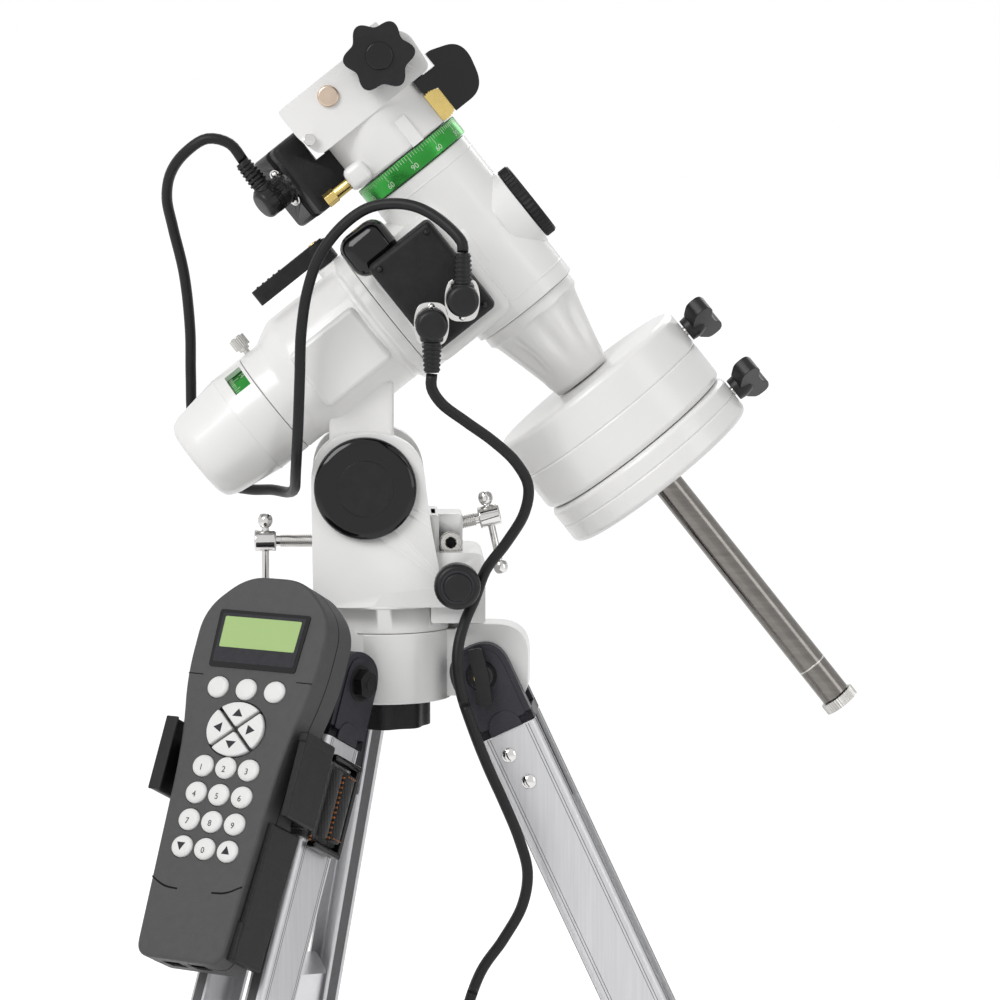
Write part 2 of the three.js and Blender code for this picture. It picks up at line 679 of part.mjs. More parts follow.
function handsetCase() {
  const h = handset;
  const shell = plate(bodyOutline(0), "x", h.back, h.back + h.thick).translate(0, h.centre, 0);
  const inner = plate(bodyOutline(-3), "x", h.back + 8, h.back + h.thick - 3, 2).translate(0, h.centre, 0);
  const holes = keyPlaces().map(([y, z]) =>
    rod(7.3, h.back + 20, h.back + h.thick + 1, "x", 10).translate(0, h.centre + y, z));
  const pad = rod(21.5, h.back + 20, h.back + h.thick + 1, "x", 20).translate(0, h.centre, keyRows.pad);
  return cut(shell, inner, ...holes, pad);
}

// One silicone mat behind the face, with every key standing through it.
function keypad() {
  const h = handset;
  const face = h.back + h.thick;
  const mat = plate(outline([[-26, -132, 4], [26, -132, 4], [30, -18, 4], [-30, -18, 4]]),
    "x", face - 3 - keyTravel - 2.5, face - 3 - keyTravel);
  const keys = keyPlaces().map(([y, z]) => cone(6.7, 6.3, face - 6, face + 2, "x", 10).translate(0, y, z));
  const quarters = [0, 1, 2, 3].map((i) => {
    const quarter = plate(outline([[1.2, 1.2, 1], [17.5, 1.2, 2], [18.6, 9, 4], [13.4, 13.4, 2], [9, 18.6, 4],
      [1.2, 17.5, 2]]), "x", face - 6, face + 2, 2);
    return quarter.rotateX(rad(45 + 90 * i)).translate(0, 0, keyRows.pad);
  });
  return join(mat, ...keys, ...quarters).translate(0, h.centre, 0);
}

const strapThick = 2.2;
const strapBand = { top: 52, bottom: 98 }; // along the leg, from the hinge bolt

function cradle() {
  const h = handset;
  const front = h.back + h.thick;
  const floor = h.back - 6;
  const low = -h.bottom + 6;
  // the case's half width at a height on its tapering lower part
  const halfAt = (z) => h.foot + ((h.hip - h.foot) * (z + h.bottom)) / (h.bottom - 62) + GAP;
  const slanted = (from, to, out) =>
    outline([[h.centre + halfAt(from), from], [h.centre + halfAt(from) + out, from],
      [h.centre + halfAt(to) + out, to], [h.centre + halfAt(to), to]]);
  const left = h.centre - h.foot;
  const right = h.centre + h.hip;
  const back = softBlock(floor, h.back - GAP, left - 2, h.centre + h.foot + 2, low, -45, 2);
  const rightWall = plate(slanted(low, -102, 4), "x", floor, front - 6);
  const lowRib = block(floor, h.back - 1, h.centre + h.foot, h.centre + h.foot + 4, low, -102);
  const bridge = block(floor, h.back - 1, h.centre + h.foot, right + 10, -98, -50);
  const wing = softBlock(floor, front - 4, right + 6, right + 11, -98, -50, 1);
  const tabRoot = block(floor, h.back - 1, h.centre - h.hip - 12, left, -84, -56);
  const tab = softBlock(floor, front + 2, h.centre - h.hip - 13, h.centre - h.hip - 8, -92, -48, 1);
  const upperPad = block(halfWidth + GAP, floor + 1, -20, 12, -strapBand.top + 2, -45);
  const lowerPad = block(halfWidth + GAP, floor + 1, -20, 12, -150, -strapBand.bottom - 2);
  return join(back, rightWall, lowRib, wing, bridge, tab, tabRoot, upperPad, lowerPad);
}

// Webbing round the leg, under the cradle's pad, and a loop frame on its right-hand end.
function strap() {
  const x = halfWidth + GAP;
  const y = legHalf + GAP;
  const loop = (grow, radius) => {
    const [u, v] = [x + grow, y + grow];
    return outline([[-u, -v, radius], [u, -v, radius], [u, v, radius], [-u, v, radius]]);
  };
  const { top, bottom } = strapBand;
  const band = cut(plate(loop(strapThick, 4), "z", -bottom, -top), plate(loop(0, 3), "z", -bottom - 1, -top + 1));
  const outer = y + strapThick - 0.5;
  const frame = softBlock(-x + 6, x - 2, outer, outer + 7, -bottom - 5, -top + 5, 2.5);
  return join(band, frame);
}

// ---------- cables ----------

const declinationRoute = [
  [45.3, -98, 955.8], [45.1, -98, 961], [34, -92, 973], [20, -86, 981], [6, -80, 983], [-9, -75, 980],
  [-24, -71, 969], [-36, -68, 953], [-43, -65, 934], [-47, -62, 909], [-48, -60, 883], [-49, -58, 857],
  [-50, -52, 839], [-51, -38, 824], [-52, -20, 814], [-56, -2, 810], [-66, 14, 810], [-80, 28, 809],
  [-95, 40, 812], [-107, 48, 827], [-114, 50, 848], [-115, 46, 876], [-115, 40, 904], [-118, 30, 938],
  [-124, 20, 966], [-127, 10, 984], [-124, 0, 999], [-115, -8, 1011], [-102, -12, 1019], [-89, -12.6, 1016],
  [-80.8, -12.6, 1005.6],
];
const polarRoute = [
  [27.7, -98, 886.8], [27.5, -98, 879], [33, -97, 870], [47, -92, 859], [63, -84, 847], [77, -72, 833],
  [84, -64, 819], [82, -58, 803], [72, -50, 785], [60, -44, 768], [54, -43, 752], [47, -46, 736],
  [43, -50, 718], [45, -52, 698], [52, -54, 676], [61, -55, 653], [70, -56, 633], [79, -57, 611],
  [84, -56, 591], [81, -54, 571], [70, -50, 550], [56, -46, 528], [40, -40, 470], [30, -32, 400],
  [24, -26, 320], [20, -22, 240], [18, -20, 160], [20, -20, 90], [24, -22, 50], [34, -22, 22], [47, -16, 7],
  [58, -4, 3.6], [65.5, 8, 3.4], [69.2, 17.4, 3.35],
];
// The spare length lies in three turns on the floor.
const coil = { x: 30, y: 40, radius: 35 };

// Its section is three round strands resting on each other.
function cableCoil() {
  const strands = [
    { across: cableRadius, up: 0, from: -90, to: 60 },
    { across: 0, up: cableRadius * Math.sqrt(3), from: 0, to: 180 },
    { across: -cableRadius, up: 0, from: 120, to: 270 },
  ];
  const section = strands.flatMap(({ across, up, from, to }) =>
    [0, 1, 2, 3].map((i) => {
      const turn = rad(from + ((to - from) * i) / 3);
      return [
        coil.radius + across + cableRadius * Math.cos(turn),
        cableRadius * (1 + Math.sin(turn)) + up,
      ];
    }));
  return turned([...section, section[0]], "z").translate(coil.x, coil.y, 0);
}

// The plug lies beside the coil, at the end of the outermost turn.
function cablePlug() {
  const boot = { radius: 4.5, length: 12 };
  const exit = 150; // where the end leaves the coil, in degrees round it
  const beside = coil.radius + 2 * cableRadius + GAP + boot.radius;
  const body = softBlock(boot.length, boot.length + 24, -7, 7, 0, 11, 1.5);
  const sleeve = rod(boot.radius, 0, boot.length + 1, "x", 12).translate(0, 0, 5);
  return join(body, sleeve)
    .rotateZ(rad(exit + 80))
    .translate(coil.x + beside * Math.cos(rad(exit)), coil.y + beside * Math.sin(rad(exit)), 0);
}

function cables(stand) {
  add(stand, "declination_cable", tube(declinationRoute, cableRadius, 42), rubber);
  add(stand, "polar_cable", tube(polarRoute, cableRadius, 46), rubber);
  add(stand, "cable_coil", cableCoil(), rubber);
  add(stand, "cable_plug", cablePlug(), blackMatte);
}

// ---------- assembly ----------

const part = new THREE.Group();
const stand = new THREE.Group();
const feet = Object.values(legAzimuth).map((a) => [footReach * Math.cos(rad(a)), footReach * Math.sin(rad(a))]);
const middle = [0, 1].map((i) => (Math.min(...feet.map((f) => f[i])) + Math.max(...feet.map((f) => f[i]))) / 2);
stand.position.set(-middle[0], -middle[1], 0);
part.add(stand);

tripodHead(stand);
leg(stand, "right");
leg(stand, "back");
const frontLeg = leg(stand, "front");

add(stand, "azimuth_base", yoke(), white);
pivotCovers(stand);
add(stand, "altitude_bolt_rear", altitudeBolt(altitudeBolts.rear), chrome);
add(stand, "altitude_bolt_front", altitudeBolt(altitudeBolts.front), chrome);
add(stand, "azimuth_knob_near", azimuthKnob(-1), blackMatte);
add(stand, "azimuth_knob_far", azimuthKnob(1), blackMatte);

const polar = new THREE.Group();
polar.position.set(crossing.x, 0, crossing.z);
polar.rotation.y = rad(90 - latitude);
stand.add(polar);
add(polar, "polar_housing", fixedHousing(), white);
add(polar, "polar_cover", polarCover(), white);
add(polar, "polar_setting_circle",
  ring(spigotRadius + RUNNING, coverOuter - 3.5 - RUNNING, neckEnd - 13.4, neckEnd - 1, "z", 24), greenMetal);
add(polar, "polar_clutch_lever", clutchLever(), blackMatte);
add(polar, "circle_lock_screw", thumbscrew(), chrome);
add(polar, "turning_housing", turningHousing(), white);
add(polar, "front_cap", frontCap(), blackMatte);
add(polar, "polar_motor_drive", motorDrive(), blackMatte);
add(polar, "declination_circle",
  ring(decNeck + RUNNING, circleRadius, decUpper - circleWidth - 1 + 0.7, decUpper - 0.7, "x", 28), greenMetal);
add(polar, "declination_head", declinationHead(), white);
add(polar, "saddle_knob", saddleKnob(), blackMatte);
add(polar, "declination_motor_drive", declinationDrive(), blackMatte);
add(polar, "declination_gear_cover", declinationGearCover(), blackGloss);
add(polar, "declination_clutch_screw", clutchScrew(), brass);
add(polar, "shaft_nut", shaftNut(), white);

const largeFrom = nutEnd + 1;
const smallFrom = largeFrom + largeWeight + GAP;
const shaftBody = cut(rod(shaftRadius, decLower - 4, shaftEnd, "x", 24), rod(3 + GAP, shaftEnd - 9, shaftEnd + 1, "x", 12));
add(polar, "counterweight_shaft", shaftBody, chrome);
const toe = join(rod(toeSaverRadius, shaftEnd + GAP, shaftEnd + 6.5, "x", 24), rod(3, shaftEnd - 8, shaftEnd + 1, "x", 12));
add(polar, "toe_saver", toe, chrome);
add(polar, "large_weight", weight(largeFrom, largeWeight, largeFrom + 16), white);
add(polar, "large_weight_knob", weightKnob(largeFrom + 16), blackMatte);
add(polar, "small_weight", weight(smallFrom, smallWeight, smallFrom + 12), white);
add(polar, "small_weight_knob", weightKnob(smallFrom + 12), blackMatte);

add(frontLeg, "handset_case", handsetCase(), handsetGrey);
add(frontLeg, "keypad", keypad(), keyWhite);
add(frontLeg, "handset_cradle", cradle(), blackMatte);
add(frontLeg, "cradle_strap", strap(), webbing);

cables(stand);

export default part;
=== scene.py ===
"""Looks of a German equatorial mount with motor drives and hand controller, on a tripod.

Pieces are drawn in millimetres in the object's own local frames and set into the row frame, so
each one lies where its CAD node does.
"""

import math

import bmesh
import bpy
from mathutils import Matrix, Vector


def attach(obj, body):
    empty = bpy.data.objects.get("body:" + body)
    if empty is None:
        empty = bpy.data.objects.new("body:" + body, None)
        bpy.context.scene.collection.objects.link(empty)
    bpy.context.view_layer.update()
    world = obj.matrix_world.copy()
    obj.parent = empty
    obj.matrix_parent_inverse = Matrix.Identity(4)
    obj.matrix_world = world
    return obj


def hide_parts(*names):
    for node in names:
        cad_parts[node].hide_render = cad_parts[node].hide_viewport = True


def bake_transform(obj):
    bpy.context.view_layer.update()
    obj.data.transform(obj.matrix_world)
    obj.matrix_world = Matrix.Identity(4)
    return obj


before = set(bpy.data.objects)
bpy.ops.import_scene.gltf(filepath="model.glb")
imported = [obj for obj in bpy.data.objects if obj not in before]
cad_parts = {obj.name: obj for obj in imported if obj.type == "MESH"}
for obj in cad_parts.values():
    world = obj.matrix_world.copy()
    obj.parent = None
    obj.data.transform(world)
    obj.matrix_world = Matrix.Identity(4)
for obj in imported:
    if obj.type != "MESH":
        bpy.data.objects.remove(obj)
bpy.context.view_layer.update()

# ---------- dimensions shared with the CAD, in millimetres ----------

LEG_TILT = 25
HINGE_HEIGHT = 704
HINGE_RADIUS = 60
LEG_AZIMUTH = {"right": -5, "front": 235, "back": 110}
FOOT_RADIUS = 13
FOOT_HEIGHT = math.sqrt(FOOT_RADIUS**2 - 6**2)
FOOT_REACH = HINGE_RADIUS + (HINGE_HEIGHT - FOOT_HEIGHT) * math.tan(math.radians(LEG_TILT))
FOOT_DROP = (HINGE_HEIGHT - FOOT_HEIGHT) / math.cos(math.radians(LEG_TILT))
CABLE = 3.25
COIL = (30, 40, 35)
PIVOT = (-10.4, 816)
TAIL_DROP = 35


def span_middle(values):
    return (min(values) + max(values)) / 2


MIDDLE = (
    span_middle([FOOT_REACH * math.cos(math.radians(a)) for a in LEG_AZIMUTH.values()]),
    span_middle([FOOT_REACH * math.sin(math.radians(a)) for a in LEG_AZIMUTH.values()]),
)


def turn(degrees, axis):
    return Matrix.Rotation(math.radians(degrees), 4, axis)


def move(x, y, z):
    return Matrix.Translation((x, y, z))


STAND = Matrix.Scale(0.001, 4) @ move(-MIDDLE[0], -MIDDLE[1], 0)
POLAR = STAND @ move(55.1, 0, 957.9) @ turn(51.5, "Y")


def leg_frame(name):
    return STAND @ turn(LEG_AZIMUTH[name], "Z") @ move(HINGE_RADIUS, 0, HINGE_HEIGHT) @ turn(-LEG_TILT, "Y")


# ---------- camera ----------

TARGET = STAND @ Vector((69.6, 0, 804.8))
cam_data = bpy.data.cameras.new("camera")
cam_data.lens = 157.6
cam_data.sensor_width = 36
camera = bpy.data.objects.new("camera", cam_data)
bpy.context.scene.collection.objects.link(camera)
look = Vector((0.03105, 0.99474, -0.09764))
camera.location = TARGET - look * 2.6
camera.rotation_euler = look.to_track_quat("-Z", "Y").to_euler()
bpy.context.scene.camera = camera

# ---------- shells: lists of points and faces, in millimetres ----------


def rounded(points, steps=4, closed=True):
    """Corners (u, v, reach) turned into curves that start that far along each side."""
    made = []
    count = len(points)
    for i, point in enumerate(points):
        here = Vector(point[:2])
        reach = point[2] if len(point) > 2 else 0
        if reach <= 0 or (not closed and i in (0, count - 1)):
            made.append(tuple(here))
            continue
        back = Vector(points[i - 1][:2]) - here
        ahead = Vector(points[(i + 1) % count][:2]) - here
        a = here + back.normalized() * min(reach, back.length * 0.49)
        b = here + ahead.normalized() * min(reach, ahead.length * 0.49)
        for s in range(steps + 1):
            t = s / steps
            made.append(tuple(a * (1 - t) ** 2 + here * (2 * t * (1 - t)) + b * t**2))
    return made


def oriented(points, axis):
    """Points made along z, turned to run along another axis."""
    if axis == "x":
        return [(z, y, -x) for x, y, z in points]
    if axis == "y":
        return [(x, z, -y) for x, y, z in points]
    return points


def lathe(profile, axis="z", sides=72, at=(0, 0, 0), steps=3):
    """A solid of revolution from (radius, distance, rounding) corners; it closes on the axis or on itself."""
    line = rounded(profile, steps, closed=False)
    ring = math.dist(line[0], line[-1]) < 1e-6
    if ring:
        line = line[:-1]
    points, rows = [], []
    for radius, height in line:
        if radius < 1e-6:
            rows.append([len(points)])
            points.append((0, 0, height))
            continue
        rows.append(list(range(len(points), len(points) + sides)))
        for s in range(sides):
            a = 2 * math.pi * s / sides
            points.append((radius * math.cos(a), radius * math.sin(a), height))
    faces = []
    pairs = list(zip(rows, rows[1:])) + ([(rows[-1], rows[0])] if ring else [])
    for low, high in pairs:
        for s in range(sides):
            n = (s + 1) % sides
            if len(low) == 1 and len(high) == 1:
                continue
            if len(low) == 1:
                faces.append((low[0], high[n], high[s]))
            elif len(high) == 1:
                faces.append((low[s], low[n], high[0]))
            else:
                faces.append((low[s], low[n], high[n], high[s]))
    placed = [tuple(Vector(p) + Vector(at)) for p in oriented(points, axis)]
    return placed, faces


def rod(radius, start, end, axis="z", sides=48, at=(0, 0, 0), edge=0.5):
    return lathe([(0, start), (radius, start, edge), (radius, end, edge), (0, end)], axis, sides, at, 2)


def ring(inner, outer, start, end, axis="z", sides=72, at=(0, 0, 0), edge=0.4):
    corners = [(inner, start, edge), (outer, start, edge), (outer, end, edge), (inner, end, edge)]
    mid = ((inner + outer) / 2, start)
    return lathe([mid, corners[1], corners[2], corners[3], corners[0], mid], axis, sides, at, 2)


def prism(outline, axis, start, end):
    """An outline's plate: (x, z) across y, (y, z) across x and (x, y) across z."""
    place = {"x": lambda u, v, w: (w, u, v), "y": lambda u, v, w: (u, w, v), "z": lambda u, v, w: (u, v, w)}[axis]
    count = len(outline)
    points = [place(u, v, w) for w in (start, end) for u, v in outline]
    faces = [tuple(range(count)), tuple(range(2 * count - 1, count - 1, -1))]
    for i in range(count):
        n = (i + 1) % count
        faces.append((i, i + count, n + count, n))
    return points, faces


def slab(outlines, axis, start, end, radius, steps=4):
    """A plate whose edge at the far end is rounded; outlines(grow) gives the outline at each level."""
    levels = [(start, 0)]
    for i in range(steps + 1):
        a = math.pi / 2 * i / steps
        levels.append((end - radius + radius * math.sin(a), -radius * (1 - math.cos(a))))
    points, faces = [], []
    for height, grow in levels:
        line = outlines(grow)
        points += prism(line, axis, height, height)[0][: len(line)]
    count = len(points) // len(levels)
    faces.append(tuple(range(count)))
    faces.append(tuple(range(len(points) - 1, len(points) - count - 1, -1)))
    for level in range(len(levels) - 1):
        low = level * count
        for i in range(count):
            n = (i + 1) % count
            faces.append((low + i, low + i + count, low + n + count, low + n))
    return points, faces


def fluted(profile, count, deepest, start, end, sides=192):
    """A solid of revolution along x with shallow flutes between two distances."""
    points, faces = lathe(profile, "x", sides)
    made = []
    for x, y, z in points:
        radius = math.hypot(y, z)
        t = (x - start) / (end - start)
        if radius > 12 and 0 < t <= 1:
            wave = (0.5 + 0.5 * math.cos(count * math.atan2(z, y))) ** 2
            depth = deepest * math.sin(math.pi * min(1, 0.12 + t)) * wave
            y, z = y * (1 - depth / radius), z * (1 - depth / radius)
        made.append((x, y, z))
    return made, faces


def box(x0, x1, y0, y1, z0, z1, radius=0, steps=3):
    bm = bmesh.new()
    size = Matrix.Diagonal((x1 - x0, y1 - y0, z1 - z0, 1))
    bmesh.ops.create_cube(bm, size=1, matrix=move((x0 + x1) / 2, (y0 + y1) / 2, (z0 + z1) / 2) @ size)
    if radius:
        bmesh.ops.bevel(bm, geom=bm.edges[:], offset=radius, segments=steps, profile=0.5, affect="EDGES")
    shell = [tuple(v.co) for v in bm.verts], [tuple(v.index for v in f.verts) for f in bm.faces]
    bm.free()
    return shell


def ball(radius, at, rows=16):
    profile = [
        (radius * math.sin(math.pi * i / rows), -radius * math.cos(math.pi * i / rows)) for i in range(rows + 1)
    ]
    profile[0], profile[-1] = (0, -radius), (0, radius)
    return lathe(profile, "z", 32, at)


def moved(shell, matrix):
    return [tuple(matrix @ Vector(p)) for p in shell[0]], shell[1]


def lobes(outer, inner, count, steps=10):
    """A knob's outline with round lobes."""
    made = []
    for i in range(count * steps):
        a = 2 * math.pi * i / (count * steps)
        radius = (outer + inner) / 2 + (outer - inner) / 2 * math.cos(count * a)
        made.append((radius * math.cos(a), radius * math.sin(a)))
    return made


def path(points, step):
    """A centripetal Catmull-Rom line through the points, sampled about every step."""
    pts = [Vector(p) for p in points]
    pts = [pts[0] * 2 - pts[1], *pts, pts[-1] * 2 - pts[-2]]
    line = []
    for p0, p1, p2, p3 in zip(pts, pts[1:], pts[2:], pts[3:]):
        t1 = (p1 - p0).length ** 0.5
        t2 = t1 + (p2 - p1).length ** 0.5
        t3 = t2 + (p3 - p2).length ** 0.5
        count = max(1, round((p2 - p1).length / step))
        for s in range(count):
            t = t1 + (t2 - t1) * s / count
            a1 = p0 * ((t1 - t) / t1) + p1 * (t / t1)
            a2 = p1 * ((t2 - t) / (t2 - t1)) + p2 * ((t - t1) / (t2 - t1))
            a3 = p2 * ((t3 - t) / (t3 - t2)) + p3 * ((t - t2) / (t3 - t2))
            b1 = a1 * ((t2 - t) / t2) + a2 * (t / t2)
            b2 = a2 * ((t3 - t) / (t3 - t1)) + a3 * ((t - t1) / (t3 - t1))
            line.append(b1 * ((t2 - t) / (t2 - t1)) + b2 * ((t - t1) / (t2 - t1)))
    return line + [pts[-2]]


def tube(line, radius, sides=16):
    """A round tube along a line of points, with closed ends."""
    line = [Vector(p) for p in line]
    points, faces = [], []
    tangent = (line[1] - line[0]).normalized()
    side = tangent.orthogonal().normalized()
    for i, p in enumerate(line):
        t = (line[min(i + 1, len(line) - 1)] - line[max(i - 1, 0)]).normalized()
        side = (side - t * side.dot(t)).normalized()
        up = t.cross(side)
        for s in range(sides):
            a = 2 * math.pi * s / sides
            points.append(tuple(p + (side * math.cos(a) + up * math.sin(a)) * radius))
    for i in range(len(line) - 1):
        for s in range(sides):
            n = (s + 1) % sides
            faces.append((i * sides + s, i * sides + n, (i + 1) * sides + n, (i + 1) * sides + s))
    faces.append(tuple(range(sides - 1, -1, -1)))
    last = (len(line) - 1) * sides
    faces.append(tuple(range(last, last + sides)))
    return points, faces


# ---------- materials ----------


def material(name, color, roughness, metallic=0.0, *, spread=0.04, grain=300.0, bump=0.02, rough_spread=0.1,
             coat=0.0, stretch=(1, 1, 1), sheen=0.0, shine=0.5):
    """A surface with fine colour and gloss variation and a bump at its own scale (grain is per metre)."""
    mat = bpy.data.materials.new(name)
    mat.use_nodes = True
    nodes, links = mat.node_tree.nodes, mat.node_tree.links
    shader = nodes["Principled BSDF"]
    shader.inputs["Metallic"].default_value = metallic
    shader.inputs["Coat Weight"].default_value = coat
    shader.inputs["Specular IOR Level"].default_value = shine
    shader.inputs["Sheen Weight"].default_value = sheen
    coords = nodes.new("ShaderNodeTexCoord")
    mapping = nodes.new("ShaderNodeMapping")
    mapping.inputs["Scale"].default_value = stretch
    links.new(coords.outputs["Object"], mapping.inputs["Vector"])

    def noise(scale, detail):
        node = nodes.new("ShaderNodeTexNoise")
        node.inputs["Scale"].default_value = scale
        node.inputs["Detail"].default_value = detail
        links.new(mapping.outputs["Vector"], node.inputs["Vector"])
        return node.outputs["Fac"]

    broad = noise(grain / 12, 4)
    fine = noise(grain, 3)
    ramp = nodes.new("ShaderNodeValToRGB")
    low = [max(0, c * (1 - spread)) for c in color]
    high = [min(1, c * (1 + spread)) for c in color]
    ramp.color_ramp.elements[0].position = 0.3
    ramp.color_ramp.elements[1].position = 0.7
    ramp.color_ramp.elements[0].color = (*low, 1)
    ramp.color_ramp.elements[1].color = (*high, 1)
    links.new(broad, ramp.inputs["Fac"])
    links.new(ramp.outputs["Color"], shader.inputs["Base Color"])
    gloss = nodes.new("ShaderNodeMapRange")
    gloss.inputs["To Min"].default_value = max(0.02, roughness - rough_spread / 2)
    gloss.inputs["To Max"].default_value = roughness + rough_spread / 2
    links.new(broad, gloss.inputs["Value"])
    links.new(gloss.outputs["Result"], shader.inputs["Roughness"])
    relief = nodes.new("ShaderNodeBump")
    relief.inputs["Strength"].default_value = bump
    relief.inputs["Distance"].default_value = 0.001
    links.new(fine, relief.inputs["Height"])
    links.new(relief.outputs["Normal"], shader.inputs["Normal"])
    return mat


WHITE = material("white enamel", (0.86, 0.855, 0.845), 0.3, spread=0.006, grain=900, bump=0.05, rough_spread=0.03,
                 coat=0.2)
BLACK = material("black moulding", (0.012, 0.012, 0.013), 0.42, spread=0.25, grain=1800, bump=0.3, shine=0.22)
GLOSS = material("black gloss", (0.004, 0.004, 0.005), 0.09, spread=0.2, grain=500, bump=0.02, rough_spread=0.03,
                 shine=0.35)
SATIN = material("black satin", (0.011, 0.011, 0.012), 0.34, spread=0.2, grain=1500, bump=0.1, shine=0.28)
HINGE = material("hinge plastic", (0.028, 0.026, 0.034), 0.42, spread=0.15, grain=1400, bump=0.2, shine=0.3)
GREY = material("handset grey", (0.07, 0.07, 0.071), 0.5, spread=0.07, grain=2200, bump=0.35, shine=0.3)
KEY = material("key silicone", (0.78, 0.78, 0.77), 0.5, spread=0.02, grain=1500, bump=0.06)
INK = material("black print", (0.03, 0.03, 0.035), 0.6, spread=0.2, grain=2500, bump=0.05, shine=0.2)
GREEN = material("green anodising", (0.035, 0.27, 0.045), 0.24, 0.9, spread=0.12, grain=900, bump=0.05)
SCALE = material("engraved scale", (0.5, 0.62, 0.46), 0.4, 0.4, spread=0.08, grain=1500, bump=0.05)
ALU = material("satin aluminium", (0.6, 0.6, 0.615), 0.36, 0.5, spread=0.05, grain=900, bump=0.1, stretch=(8, 8, 0.25))
# painted shade: a dark aluminium used only for thin strips that stand in for the shade on the leg rails' side faces and
# in their groove lines
ALU_PAINTED_SHADE = material("painted shade on aluminium", (0.1, 0.1, 0.104), 0.4, 0.4, spread=0.08, grain=900, bump=0.1, stretch=(8, 8, 0.25))
ALU_EDGE = material("bare aluminium", (0.68, 0.675, 0.69), 0.3, 0.7, spread=0.05, grain=900, bump=0.08)
CHROME = material("bright chrome", (0.62, 0.61, 0.6), 0.1, 1.0, spread=0.04, grain=600, bump=0.02, rough_spread=0.06)
SHAFT = material("polished bar", (0.17, 0.16, 0.15), 0.13, 1.0, spread=0.12, grain=900, bump=0.03, rough_spread=0.05,
                 stretch=(0.3, 6, 6))
STEEL = material("turned steel", (0.5, 0.49, 0.47), 0.25, 1.0, spread=0.06, grain=1500, bump=0.15)
BRASS = material("turned brass", (0.66, 0.5, 0.18), 0.24, 1.0, spread=0.08, grain=1200, bump=0.08)
BRONZE = material("bronze button", (0.55, 0.44, 0.35), 0.3, 1.0, spread=0.08, grain=900, bump=0.06)
CORD = material("cable sheath", (0.009, 0.009, 0.01), 0.42, spread=0.2, grain=1600, bump=0.15, shine=0.25)
SHADOW = material("dark recess", (0.008, 0.008, 0.008), 0.8, spread=0.2, grain=500, bump=0.05, shine=0.1)
LCD = material("display", (0.36, 0.52, 0.19), 0.3, spread=0.06, grain=120, bump=0.01, coat=0.3)
THREAD = material("orange thread", (0.5, 0.16, 0.03), 0.8, spread=0.3, grain=3000, bump=0.4)

# ---------- pieces ----------


def mesh_object(name, matrix, looks):
    """One object from {material: [shells]}, with its points set into the row frame."""
    mesh = bpy.data.meshes.new(name)
    bm = bmesh.new()
    for index, (mat, shells) in enumerate(looks.items()):
        mesh.materials.append(mat)
        for points, faces in shells:
            verts = [bm.verts.new(matrix @ Vector(p)) for p in points]
            for face in faces:
                made = bm.faces.new([verts[i] for i in face])
                made.material_index = index
                made.smooth = True
    bmesh.ops.recalc_face_normals(bm, faces=bm.faces[:])
    bm.to_mesh(mesh)
    bm.free()
    obj = bpy.data.objects.new(name, mesh)
    bpy.context.scene.collection.objects.link(obj)
    return obj


def carve(obj, matrix, shells, joined=True):
    """Cuts the shells out of the object for good."""
    for number, shell in enumerate(shells):
        cutter = mesh_object(f"cutter_{number}", matrix, {SHADOW: [shell]})
        cutter.data.materials.clear()
        change = obj.modifiers.new("cut", "BOOLEAN")
        change.object = cutter
        change.solver = "EXACT"
        change.use_self = joined and number == 0
        view = bpy.context.evaluated_depsgraph_get()
        carved = bpy.data.meshes.new_from_object(obj.evaluated_get(view))
        obj.modifiers.clear()
        obj.data = carved
        bpy.data.objects.remove(cutter)
    for face in obj.data.polygons:
        face.use_smooth = True


def bored(shell, *holes):
    """One shell with holes cut out of it, still in its own frame's millimetres."""
    temp = mesh_object("bored", Matrix.Identity(4), {SHADOW: [shell]})
    carve(temp, Matrix.Identity(4), holes, False)
    made = [tuple(v.co) for v in temp.data.vertices], [tuple(p.vertices) for p in temp.data.polygons]
    bpy.data.objects.remove(temp)
    return made


def piece(name, matrix, looks, body, nodes=(), bevel=0.4, cuts=()):
    obj = mesh_object(name, matrix, looks)
    if cuts:
        carve(obj, matrix, cuts)
    if bevel:
        edge = obj.modifiers.new("edges", "BEVEL")
        edge.width = bevel / 1000
        edge.segments = 2
        edge.limit_method = "ANGLE"
        edge.angle_limit = math.radians(38)
    obj.modifiers.new("shading", "WEIGHTED_NORMAL").keep_sharp = True
    if body:
        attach(obj, body)
    if nodes:
        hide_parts(*nodes)
    return obj


# ---------- cables ----------

